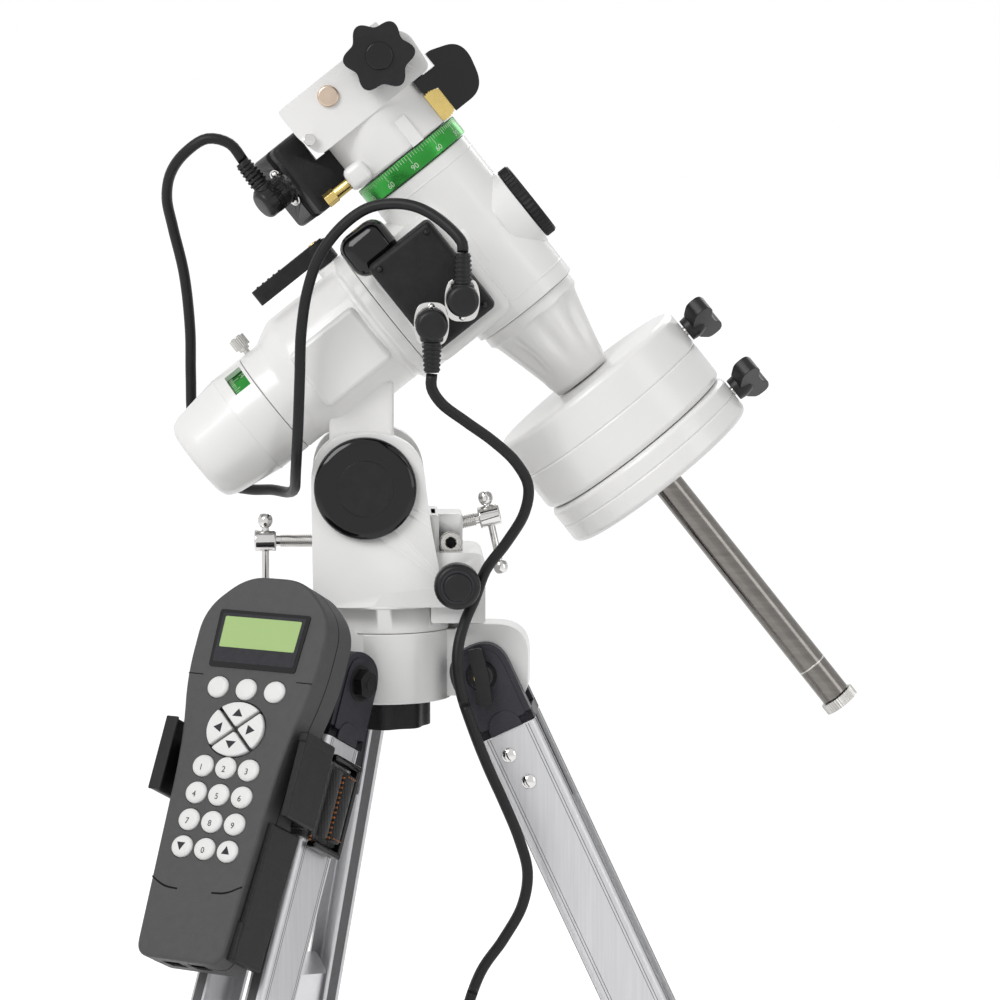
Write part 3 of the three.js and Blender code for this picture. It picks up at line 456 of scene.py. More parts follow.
DEC_ROUTE = [
    (45.3, -98, 955.8), (45.1, -98, 961), (34, -92, 973), (20, -86, 981), (6, -80, 983), (-9, -75, 980),
    (-24, -71, 969), (-36, -68, 953), (-43, -65, 934), (-47, -62, 909), (-48, -60, 883), (-49, -58, 857),
    (-50, -52, 839), (-51, -38, 824), (-52, -20, 814), (-56, -2, 810), (-66, 14, 810), (-80, 28, 809),
    (-95, 40, 812), (-107, 48, 827), (-114, 50, 848), (-115, 46, 876), (-115, 40, 904), (-118, 30, 938),
    (-124, 20, 966), (-127, 10, 984), (-124, 0, 999), (-115, -8, 1011), (-102, -12, 1019), (-89, -12.6, 1016),
    (-80.8, -12.6, 1005.6),
]
POLAR_ROUTE = [
    (27.7, -98, 886.8), (27.5, -98, 879), (33, -97, 870), (47, -92, 859), (63, -84, 847), (77, -72, 833),
    (84, -64, 819), (82, -58, 803), (72, -50, 785), (60, -44, 768), (54, -43, 752), (47, -46, 736),
    (43, -50, 718), (45, -52, 698), (52, -54, 676), (61, -55, 653), (70, -56, 633), (79, -57, 611),
    (84, -56, 591), (81, -54, 571), (70, -50, 550), (56, -46, 528), (40, -40, 470), (30, -32, 400),
    (24, -26, 320), (20, -22, 240), (18, -20, 160), (20, -20, 90), (24, -22, 50), (34, -22, 22), (47, -16, 7),
    (58, -4, 3.6), (65.5, 8, 3.4),
]


def on_coil(degrees, radius, height):
    a = math.radians(degrees)
    return (COIL[0] + radius * math.cos(a), COIL[1] + radius * math.sin(a), height)


def coil_route():
    """Two turns on the floor, then half a turn on top of them and out to the plug."""
    made = []
    for i in range(1, 49):
        turns = i / 24
        made.append(on_coil(-20 + 360 * turns, 38.6 - 6.7 * turns, CABLE + 0.1))
    for turns, radius, height in ((0.06, 26.5, 5.2), (0.12, 29.5, 8.6), (0.2, 33, 9.4), (0.28, 35.2, 10),
                                  (0.35, 39, 9.8), (0.41, 42.6, 7.8), (0.46, 45.3, 5.6), (0.475, 46, 5)):
        made.append(on_coil(-20 + 360 * turns, radius, height))
    return made


def lead(name, line, nodes, bodies, start, end, **facts):
    """A cable through points of the stand's frame, drawn as one round tube."""
    obj = mesh_object(name, STAND, {CORD: [tube(line, CABLE, 14)]})
    obj.modifiers.new("shading", "WEIGHTED_NORMAL").keep_sharp = True
    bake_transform(obj)
    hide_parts(*nodes)
    return obj


def cables():
    lead("declination_lead", path(DEC_ROUTE, 3), ["declination_cable"], ("right_ascension", "declination"),
         (-95, 25, 810), (-138.3, 68.3, 853.3), far_end="object", stiffness="medium", lay="loose")
    whole = path(POLAR_ROUTE + coil_route(), 3)
    floor_start = next(i for i, p in enumerate(whole) if p.z < 20)
    cuts = [next(i for i, p in enumerate(whole) if p.z < z) for z in (690, 520)]
    assert cuts[1] < floor_start
    lead("polar_lead_top", whole[: cuts[0] + 1], ["polar_cable"], ("right_ascension", "altitude"),
         (0, 0, 884), (0, 0, 705), far_end="object", stiffness="medium", lay="hanging")
    lead("polar_lead_middle", whole[cuts[0]: cuts[1] + 1], ["polar_cable"], ("altitude", "azimuth"),
         (0, 0, 685), (0, 0, 530), far_end="object", stiffness="medium", lay="hanging")
    plug = piece("lead_plug", STAND @ move(*on_coil(150, 46.3, 0)) @ turn(230, "Z"), {
        SATIN: [box(12, 36, -7, 7, 0.2, 11, 1.5), lathe([(0, 0), (3.6, 0), (4.5, 12), (0, 12)], "x", 32, (0, 0, 5))]
        + [ring(3, 4.6, 2 + 2.4 * i, 3.1 + 2.4 * i, "x", 32, (0, 0, 5), 0.2) for i in range(4)],
        KEY: [box(36, 44, -5.5, 5.5, 1.8, 9.4, 0.5)],
        BRASS: [box(39, 44.2, -4.6 + 1.6 * i, -3.8 + 1.6 * i, 1.5, 2.2) for i in range(6)],
    }, "tripod", ["cable_plug"], 0.2)
    lead("polar_lead_floor", whole[cuts[1]:], ["polar_cable", "cable_coil"], ("azimuth", "tripod"),
         (0, 0, 500), (0, 0, 250), far_end="plug", stiffness="medium", lay="coiled", with_pieces=[plug])


cables()

# ---------- shared small parts ----------


def knurled(radius, start, end, axis, teeth, depth=0.5, at=(0, 0, 0)):
    return moved(prism(lobes(radius, radius - depth, teeth, 4), axis, start, end), move(*at))


def cross_screw(radius, axis, face, out, at):
    """A domed cross-head screw on a face; out is +1 or -1 along the axis. Returns steel and dark shells."""
    dome = lathe([(0, face), (radius, face), (radius, face + out * 0.6), (radius * 0.75, face + out * 1.6),
                  (radius * 0.4, face + out * 2.1), (0, face + out * 2.2)], axis, 32, at)
    slots = []
    for degrees in (20, 110):
        bar = box(-radius * 0.55, radius * 0.55, -0.45, 0.45, out * 1.2 + face - 0.6, out * 1.2 + face + 1.15)
        turned_to = moved(bar, turn(degrees, "Z"))
        slots.append((oriented(turned_to[0], axis), turned_to[1]))
    return dome, [moved(s, move(*at)) for s in slots]


def digits(text, size, matrix, mat, thickness=0.15):
    """Raised plain digits, centred, in millimetres of the given frame."""
    curve = bpy.data.curves.new("digits", "FONT")
    curve.body = text
    curve.size = size
    curve.align_x = "CENTER"
    curve.align_y = "CENTER"
    curve.extrude = thickness
    temp = bpy.data.objects.new("digits", curve)
    bpy.context.scene.collection.objects.link(temp)
    view = bpy.context.evaluated_depsgraph_get()
    mesh = bpy.data.meshes.new_from_object(temp.evaluated_get(view))
    shell = [tuple(matrix @ v.co) for v in mesh.vertices], [tuple(p.vertices) for p in mesh.polygons]
    bpy.data.objects.remove(temp)
    bpy.data.meshes.remove(mesh)
    return shell


# ---------- tripod ----------

LEG_HALF = 25
LEG_SIDE = 18
RAIL_IN = 14
SHOULDER = 36
RAIL_END = 540


def tripod_head():
    lobe = prism(rounded([(20, 690), (84, 690, 3), (87, 696, 2), (87, 733, 20), (47.5, 733, 2), (43.5, 729.7, 1),
                          (20, 729.7)], 8), "y", -13, 13)
    shells = [lathe([(0, 688), (41, 688, 1.5), (41, 729.7, 1), (0, 729.7)], "z", 96), rod(5, 698, 767, at=(43, 0, 0))]
    shells += [moved(lobe, turn(a, "Z")) for a in LEG_AZIMUTH.values()]
    piece("head_casting", STAND, {WHITE: shells}, "tripod", ["tripod_head"], 1.2)
    grip = prism(lobes(28, 25.5, 8), "z", 671, 686.5)
    piece("centre_grip", STAND, {BLACK: [grip, rod(16, 671, 687.5)], STEEL: [rod(6, 678, 748)]}, "centre_knob",
          ["centre_knob"], 1)


def leg(name):
    here = leg_frame(name)
    body = f"{name}_leg"
    x, y = LEG_SIDE, LEG_HALF
    ear_line = rounded([(-x, -SHOULDER), (x, -SHOULDER), (x, x, x), (-x, x, x)], 10)
    ears = [prism(ear_line, "y", -y, -14), prism(ear_line, "y", 14, y)]
    raised = rounded([(-x + 3.5, -SHOULDER + 5, 2), (x - 3.5, -SHOULDER + 5, 2), (x - 3.5, x - 3.5, x - 4),
                      (-x + 3.5, x - 3.5, x - 4)], 10)
    rims = [prism(raised, "y", -y - 0.8, -y + 1), prism(raised, "y", y - 1, y + 0.8)]
    bumps = []
    for side in (-1, 1):
        dome = lathe([(0, 0), (10, 0, 1), (10, 1.5, 0.8), (0, 1.5)], "y", 48)
        half = [(px, py * side + side * y, max(pz - SHOULDER + 2, -SHOULDER)) for px, py, pz in dome[0]]
        bumps.append((half, dome[1]))
    core = [box(-x, x, -y, y, -SHOULDER, -SHOULDER + 6), box(-15.2, 15.2, -20.2, 20.2, -92, -SHOULDER)]
    ribs = [box(-15.5, 15.5, -14.5, 14.5, -SHOULDER + 4, -SHOULDER + 12)]
    piece(f"{name}_bracket", here, {HINGE: ears + rims + core + ribs + bumps}, body, [f"{name}_leg_bracket"],
          0.9)
    crown = rounded([(-x, RAIL_IN, 0), (-x, y, 5), (x, y, 5), (x, RAIL_IN, 0), (x - 2.5, RAIL_IN), (x - 2.5, y - 3, 2),
                     (-x + 2.5, y - 3, 2), (-x + 2.5, RAIL_IN)], 6)
    for side, node in ((1, "rail_b"), (-1, "rail_a")):
        flip = turn(0 if side > 0 else 180, "Z")
        bar = moved(prism(crown, "z", -RAIL_END, -SHOULDER - 0.3), flip)
        # painted shade: thin dark aluminium strips along the rail's groove lines and along its side faces stand in for
        # the shade there; the rail itself is one aluminium throughout
        fine = []
        for u in (-13.2, -11.6, 11.6, 13.2):
            fine.append(moved(box(u - 0.22, u + 0.22, y - 0.3, y + 0.12, -RAIL_END + 0.5, -SHOULDER - 0.8), flip))
        flank_shade = [moved(box(*sorted((u * (x - 0.3), u * (x + 0.12))), RAIL_IN + 1.6, y - 3.4, -RAIL_END + 0.3,
                            -SHOULDER - 0.6), flip) for u in (-1, 1)]
        looks = {ALU: [bar], ALU_PAINTED_SHADE: fine + flank_shade}
        steel, dark = [], []
        for z, u in ((-50, 5), (-69, 1)):
            dome, slots = cross_screw(4.4, "y", side * (y + 0.1), side, (u * side, 0, z))
            steel.append(dome)
            dark += slots
        if side < 0 or name != "front":
            looks[CHROME] = steel
            looks[SHADOW] = dark
        piece(f"{name}_{node}", here, looks, body, [f"{name}_leg_{node}"], 0.3)
    bolt = here @ turn(180, "Z")
    wings = prism(rounded([(-4, -17, 2.5), (5, -17, 2.5), (3.5, 0, 1), (5, 17, 2.5), (-4, 17, 2.5), (-5, 0, 1)], 5),
                  "y", y + 4, y + 10)
    piece(f"{name}_hinge_fastener", bolt, {
        SATIN: [lathe([(0, y + 0.3), (9.5, y + 0.3, 1), (7, y + 8, 1), (0, y + 8)], "y", 48), moved(wings, turn(-14, "Y"))],
        BRASS: [ring(1.6, 4, y + 7, y + 9.4, "y", 32, edge=0.2)],
        BLACK: [rod(8.9, -y - 7, -y - 0.3, "y", 6, edge=0.8), rod(3.2, -y - 7.6, -y - 6, "y", 24),
                rod(11, -y - 1.4, -y - 0.3, "y", 48)],
        STEEL: [rod(4, -y - 4, y + 4, "y", 24)],
    }, body, [f"{name}_leg_hinge_bolt"], 0.4)
    leg_end(name, here, body)


def leg_end(name, here, body):
    """The clamp on the rails' lower end, its knob, and the inner leg with its foot."""
    x, y = LEG_SIDE + 4, LEG_HALF + 4
    top = -RAIL_END + 15
    knob_z = -RAIL_END - 14
    frame_line = rounded([(-x, -y, 4), (x, -y, 4), (x, y, 4), (-x, y, 4)], 6)
    shells = [prism(frame_line, "z", top - 50, top)]
    way = [box(-12.3, 12.3, -16.3, 16.3, top - 60, top + 5)]
    pocket = [box(-18.3, 18.3, -25.3, 25.3, -RAIL_END - 0.3, top + 1)]
    ribs = [box(-x - 1, x + 1, -y - 1, y + 1, z, z + 3, 1) for z in (top - 50, top - 26, top - 4)]
    piece(f"{name}_clamp", here, {HINGE: [*shells, *ribs, lathe([(0, 14), (10, 14, 0), (10, x + 6, 1), (0, x + 6)], "x",
                                                                   48, (0, 0, knob_z))]},
          body, [f"{name}_leg_clamp"], 0.6,
          [*way, *pocket, moved(rod(4.4, 5, x + 8, "x", 24, edge=0), move(0, 0, knob_z))])
    start = x + 6.3
    grip = prism(lobes(14, 11, 5, 12), "x", start, start + 14)
    piece(f"{name}_lock_grip", here @ move(0, 0, knob_z), {
        BLACK: [grip, rod(8, start + 12, start + 15.5, "x", 32, edge=1)],
        STEEL: [rod(4, 12.5, start + 2, "x", 24)],
    }, f"{name}_lock_knob", [f"{name}_leg_lock_knob"], 1)
    bar = prism(rounded([(-12, -16, 3), (12, -16, 3), (12, 16, 3), (-12, 16, 3)], 5), "z", -FOOT_DROP + 31, -230)
    ticks = [box(-12.06, -11.9, -6, 6 if i % 5 == 0 else 0, z, z + 0.6)
             for i, z in enumerate(range(-700, -560, 10))]
    grooves = [box(12 - 0.2, 12.08, u - 0.3, u + 0.3, -FOOT_DROP + 36, -231) for u in (-9, 9)]
    foot = [lathe([(0, 0), (13, 0, 1), (15, 10, 2), (19, 33, 2), (19, 34, 0.5), (0, 34)], "z", 48, (0, 0, -FOOT_DROP))]
    foot += [ring(12, 16.6 + i * 1.4, 14 + 6 * i, 16 + 6 * i, "z", 48, (0, 0, -FOOT_DROP), 0.5) for i in range(3)]
    floor = moved(box(-60, 60, -60, 60, -60, -FOOT_HEIGHT), move(0, 0, -FOOT_DROP) @ turn(LEG_TILT, "Y"))
    inner = piece(f"{name}_inner_leg_body", here, {ALU_EDGE: [bar], SHADOW: ticks + grooves, BLACK: foot
                                                     + [ball(FOOT_RADIUS, (0, 0, -FOOT_DROP))]},
                  f"{name}_inner_leg", [f"{name}_inner_leg"], 0.4, [floor])
    return inner


# ---------- mount base ----------


def base_casting():
    left = PIVOT[0] - 32
    ear_line = rounded([(-41, 745.7), (40, 745.7), (34, 761, 4), (PIVOT[0] + 38, PIVOT[1] - 20, 8),
                        (PIVOT[0] + 32, PIVOT[1] + 32, 30), (left, PIVOT[1] + 32, 30)], 10)
    bolt_z = PIVOT[1] - TAIL_DROP
    shells = [
        lathe([(0, 730), (41, 730, 1), (41, 757, 3), (0, 757)], "z", 96),
        prism(ear_line, "y", -41, -27), prism(ear_line, "y", 27, 41),
        box(left + 1.6, left + 11, -28, 28, 745.7, bolt_z + 14, 2),
        box(22, 33, -28, 28, 745.7, bolt_z + 18, 2),
        box(26, 47, -22, 10, bolt_z - 8, bolt_z + 18, 2.5),
        prism(rounded([(28, 735.5, 2), (60, 735.5, 2), (60, 777, 8), (28, 777, 2)], 6), "y", -34, 34),
        lathe([(36, 744), (41.6, 744.6, 0.4), (41.6, 746, 0.4), (36, 746.6)], "z", 96),
    ]
    socket = [moved(s, move(40, -22, bolt_z + 1)) for s in (rod(7, -1.2, 3, "y", 48, edge=0.4), ring(3.4, 6.2, -1.9, 0, "y", 48, edge=0.3))]
    hexagon = moved(rod(3.2, -1.6, 1, "y", 6, edge=0), move(40, -22, bolt_z + 1))
    cuts = [box(36, 50, -14, 14, 730, 770, 0), rod(6.4, -60, 60, "y", 32, (PIVOT[0], 0, PIVOT[1]), 0),
            rod(3.4, -60, 60, "y", 24, (43, 0, 760), 0)]
    piece("base_yoke", STAND, {WHITE: shells, STEEL: socket, SHADOW: [hexagon]}, "azimuth", ["azimuth_base"],
          1.1, cuts)
    face = 41.3
    disc = [(0, -face), (30, -face, 0.4), (30, -face - 4.5, 2), (26.5, -face - 6, 0.6), (0, -face - 6)]
    inner = rod(16.5, -face - 6.35, -face - 5, "y", 72, (PIVOT[0], 0, PIVOT[1]), 0.3)
    for name, flip in (("front", 0), ("back", 180)):
        spin = move(PIVOT[0], 0, PIVOT[1]) @ turn(flip, "Z")
        looks = {GLOSS: [moved(lathe(disc, "y", 96), spin)], SATIN: [moved(inner, spin @ move(-PIVOT[0], 0, -PIVOT[1]))]}
        if not flip:
            looks[STEEL] = [rod(6, -face, face, "y", 32, (PIVOT[0], 0, PIVOT[1]))]
        piece(f"pivot_disc_{name}", STAND, looks, "azimuth", [f"pivot_cover_{name}"], 0.4)


def altitude_bolts():
    for name, side, slope, length, shift in (("rear", -1, 180, 57, 9), ("front", 1, -12.5, 73, -10)):
        here = STAND @ move(PIVOT[0] + side * 8.8, 0, PIVOT[1] - TAIL_DROP) @ turn(slope, "Y")
        thread = [ring(3, 4, 2 + i * 1.25, 2.7 + i * 1.25, "x", 32, edge=0.25) for i in range(int((length - 16) / 1.25))]
        head = lathe([(0, length - 13), (6.5, length - 13, 1.2), (6.5, length, 1.2), (0, length)], "x", 48)
        bar = rod(2.2, shift - 20, shift + 20, "z", 32, (length - 6.5, 0, 0))
        ends = [lathe([(0, z - 4.3), (3, z - 4, 1), (4.4, z - 1.5, 1), (4.4, z + 1.5, 1), (3, z + 4, 1), (0, z + 4.3)],
                      "z", 32, (length - 6.5, 0, 0)) for z in (shift - 21, shift + 21)]
        piece(f"tilt_bolt_{name}", here, {CHROME: [rod(3.5, 0, length - 10, "x", 32), head, bar, *ends], STEEL: thread},
              f"altitude_bolt_{name}", [f"altitude_bolt_{name}"], 0)


def azimuth_knobs():
    for name, flip in (("near", 0), ("far", 180)):
        here = STAND @ move(43, 0, 760) @ turn(flip, "Z")
        body = lathe([(0, -65), (8, -65, 1), (8.6, -62, 0.5), (11.5, -62, 1), (13.5, -60, 1), (13.5, -50, 1.5),
                      (6, -47, 1), (0, -47)], "y", 64)
        grip = knurled(13.7, -59, -52, "y", 36, 0.7)
        piece(f"azimuth_grip_{name}", here, {
            SATIN: [body, grip], HINGE: [ring(8.2, 9.8, -62.4, -61.5, "y", 48, edge=0.2)],
            STEEL: [rod(3, -48, -5.4, "y", 24)],
        }, f"azimuth_knob_{name}", [f"azimuth_knob_{name}"], 0.3)

# ---------- polar axis ----------

SEAM = -66
NECK = -152


def scale_ring(radius, at, axis, numbers, facing, width):
    """Graduations and numerals round a circle; facing flips the numerals' tops."""
    marks = []
    for i in range(120):
        long = 0.55 if i % 10 == 0 else 0.36 if i % 5 == 0 else 0.24
        bar = box(radius - 0.25, radius + 0.08, -0.16, 0.16, at, at + width * long)
        spun = moved(bar, turn(3 * i, "Z"))
        marks.append((oriented(spun[0], axis), spun[1]))
    for i, text in enumerate(numbers):
        a = 360 * i / len(numbers)
        spot = turn(a, "Z") @ move(radius, 0, at + width * 0.76) @ turn(90, "Y") @ turn(90 * facing, "Z")
        shell = digits(text, width * 0.42, spot, SCALE, 0.1)
        marks.append((oriented(shell[0], axis), shell[1]))
    return marks


def polar_parts():
    body = lathe([(0, NECK - 14), (24.7, NECK - 14), (24.7, NECK), (33, NECK, 1), (33, -139, 2), (36, -134, 2),
                  (40, -126, 3), (40, SEAM - 9, 1), (44, SEAM - 7, 1), (44, SEAM - 0.3, 0.6), (0, SEAM - 0.3)], "z", 128)
    to_polar = POLAR.inverted() @ STAND
    x, z = PIVOT
    foot = [box(x - 21, x + 17, -26.7, 26.7, z, z + 62, 3), rod(24, -26.7, 26.7, "y", 96, (x, 0, z), 1.5),
            rod(8, -26.7, 26.7, "y", 48, (x, 0, z - TAIL_DROP), 1), box(x - 5, x + 5, -26.7, 26.7, z - TAIL_DROP, z, 1)]
    shells = [body, box(-18, 21, -42, -10, -127, -79, 3.5), rod(8, -44, -20, "x", 64, (0, 0, -76), 0.8)]
    shells += [moved(s, to_polar) for s in foot]
    rings = [ring(35, 40.25, h, h + 1.1, "z", 128, edge=0.3) for h in (SEAM - 12.5,)]
    shells += rings
    cuts = [moved(rod(6.4, -60, 60, "y", 32, (x, 0, z), 0), to_polar)]
    piece("polar_casting", POLAR, {WHITE: shells}, "altitude", ["polar_housing"], 1.0, cuts)

    rim = NECK - 0.3
    cover = lathe([(0, -210), (22, -210, 1), (26, -208, 1.5), (28.5, -203, 3), (33, rim - 20, 3), (33, rim, 0.5),
                   (29.5, rim, 0.5), (29.5, rim - 22), (0, rim - 22)], "z", 128)
    window = moved(box(-45, 0, -9, 9, rim - 13, rim - 2), turn(40, "Z"))
    seams = [ring(30, 33.2, rim - 21, rim - 20, "z", 128, edge=0.2)]
    piece("tail_cover", POLAR, {WHITE: [cover, *seams]}, "polar_cover", ["polar_cover"], 0.5, [window])

    circle = ring(25.1, 29.1, NECK - 13.4, NECK - 1, "z", 128)
    numbers = [str(n) for n in range(0, 24, 2)]
    piece("polar_circle", POLAR, {GREEN: [circle], SCALE: scale_ring(29.1, NECK - 13, "z", numbers, 1, 11.5)},
          "polar_setting_circle", ["polar_setting_circle"], 0)

    arm = prism(rounded([(-3, -46, 2), (3, -46, 2), (5, -44, 4), (6, 6, 5), (-6, 6, 5), (-5, -44, 4)], 6), "x", -59, -49)
    ribs = [box(-59.6, -58.5, -3.5, 3.5, z0, z0 + 1.4, 0.4) for z0 in range(-42, -22, 4)]
    piece("polar_lever", POLAR @ move(0, 0, -76), {BLACK: [rod(8, -58, -44.3, "x", 48, edge=1), arm, *ribs],
                                                    STEEL: [rod(3, -48, -32, "x", 24)],
                                                    BRASS: [rod(3.2, -59.6, -57, "x", 6)]},
          "polar_clutch_lever", ["polar_clutch_lever"], 0.8)
    screw = POLAR @ move(0, 0, -146)
    piece("circle_screw", screw, {STEEL: [knurled(5.1, -44, -37, "x", 24, 0.5), rod(3.4, -38, -35, "x", 32),
                                          rod(2, -42, -26, "x", 24), rod(3.6, -44.6, -43.5, "x", 32)]},
          "circle_lock_screw", ["circle_lock_screw"], 0.2)


def turning_parts():
    shells = [
        bored(rod(34, -54, 48, "x", 128, edge=1), rod(9.3, 42, 60, "x", 48, edge=0)), rod(29.6, -67, -54, "x", 96),
        lathe([(0, SEAM), (44, SEAM, 0.6), (44, -46, 2), (38, -18, 6), (36, 0), (0, 0)], "z", 128),
        box(-34, 42, -46, 0, SEAM + 6, -6, 6, 4),
        bored(lathe([(0, 10), (30, 18, 3), (26, 34.6, 1), (0, 34.6)], "z", 96), rod(12.4, 26, 40, "z", 48, edge=0)),
        ring(31, 34.25, 38, 39.2, "x", 128, edge=0.3), ring(31, 34.25, -47, -45.8, "x", 128, edge=0.3),
    ]
    piece("turning_casting", POLAR, {WHITE: shells}, "right_ascension", ["turning_housing"], 0.5)
    cap = [lathe([(0, 42.5), (18, 42.5, 0.6), (19, 41.4, 0.6), (20.5, 41.4, 0.6), (21, 42.5, 0.6), (23.3, 42.5, 1),
                  (23.3, 35, 0.5), (0, 35)], "z", 96), rod(12, 27, 36, "z", 48), knurled(24, 35.6, 41.4, "z", 48, 0.8)]
    piece("front_plug", POLAR, {BLACK: cap}, "front_cap", ["front_cap"], 0.3)

    start, end = 48.3, 102
    profile = [(9.3, start), (31.5, start, 1), (31.5, start + 7, 1), (30, start + 9, 2), (18, end, 1), (9.3, end), (9.3, start)]
    cone = fluted([*profile[:3], *[(30 - 12 * i / 12, start + 9 + (end - start - 9) * i / 12) for i in range(13)],
                   *profile[5:]], 8, 3.4, start + 7, end - 3)
    piece("nut_cone", POLAR, {WHITE: [cone]}, "right_ascension", ["shaft_nut"], 0)
    shaft = lathe([(0, 44), (9, 44), (9, 346, 0.8), (0, 346)], "x", 96)
    band = [ring(7, 9.06, 322, 323, "x", 96, edge=0.2)]
    piece("weight_shaft", POLAR, {SHAFT: [shaft], STEEL: band}, "right_ascension", ["counterweight_shaft"], 0)
    piece("end_stop", POLAR, {STEEL: [knurled(11, 346.3, 352.5, "x", 40, 0.6), rod(10.3, 346.3, 352.7, "x", 64)],
                              CHROME: [rod(3, 338, 347, "x", 24), rod(5, 352, 353, "x", 48, edge=0.3)]},
          "toe_saver", ["toe_saver"], 0.2)


def plug_shells(here, turned_down, length=27):
    """A right-angle plug with its chrome flange; here has the socket's face at y = 0, facing -y."""
    flange = prism(rounded([(-12.5, -7, 6), (-5, -10, 4), (5, -10, 4), (12.5, -7, 6), (12.5, 7, 6), (5, 10, 4),
                            (-5, 10, 4), (-12.5, 7, 6)], 6), "y", -1.3, 0.5)
    screws, slots = [], []
    for u in (-10, 10):
        dome, dark = cross_screw(2, "y", -1.2, -1, (u, 0, 0))
        screws.append(dome)
        slots += dark
    barrel = lathe([(0, -20), (7.5, -20, 1.5), (9.2, -18, 1), (9.2, -3.5, 0.6), (8.2, -3, 0.4), (8.2, 0), (0, 0)], "y", 64)
    grooves = [ring(8.6, 9.35, -9 - 1.6 * i, -8.4 - 1.6 * i, "y", 64, edge=0.15) for i in range(3)]
    sign = 1 if turned_down else -1
    reach = [lathe([(0, 0), (6.8, 0), (6.6, 9, 0.5), (4.9, 10, 0.4), (4.2, length, 0.4), (0, length)], "x", 48)]
    reach += [ring(3.6, 5.7 - 0.18 * i, 11.5 + 2.6 * i, 13 + 2.6 * i, "x", 48, edge=0.3) for i in range(6)]
    relief = [moved(s, move(0, -12, 0) @ turn(0 if sign > 0 else 180, "Y")) for s in reach]
    return {CHROME: [moved(s, here) for s in [flange, *screws]], SATIN: [moved(s, here) for s in [barrel, *relief]],
            SHADOW: [moved(s, here) for s in slots + grooves]}


def merge(*tables):
    made = {}
    for table in tables:
        for mat, shells in table.items():
            made[mat] = made.get(mat, []) + list(shells)
    return made


def motor():
    case = box(-31, 32, -86, -46.3, -57.5, -12.5, 3.5, 4)
    split = [box(-31.15, 32.15, -74.6, -74.1, -57.65, -12.35, 3.5, 4)]
    hood = box(-52, -25, -74, -46.3, -65, -34.5, 9, 5)
    screws, slots = [], []
    for u, w in ((-26, -52), (-26, -18), (27, -52), (27, -18)):
        dome, dark = cross_screw(1.8, "y", -86.1, -1, (u, 0, w))
        screws.append(dome)
        slots += dark
    tables = [{BLACK: [case], GLOSS: [hood], SHADOW: split + slots, SATIN: screws}]
    for z, down in ((-48.5, True), (-26, False)):
        # the relief hangs straight down or stands straight up in the stand's frame
        here = move(17, -86, z) @ turn(-51.5 + 90, "Y")
        tables.append(plug_shells(here, down))
    piece("polar_drive", POLAR, merge(*tables), "right_ascension", ["polar_motor_drive"], 0.3)


# ---------- declination head ----------


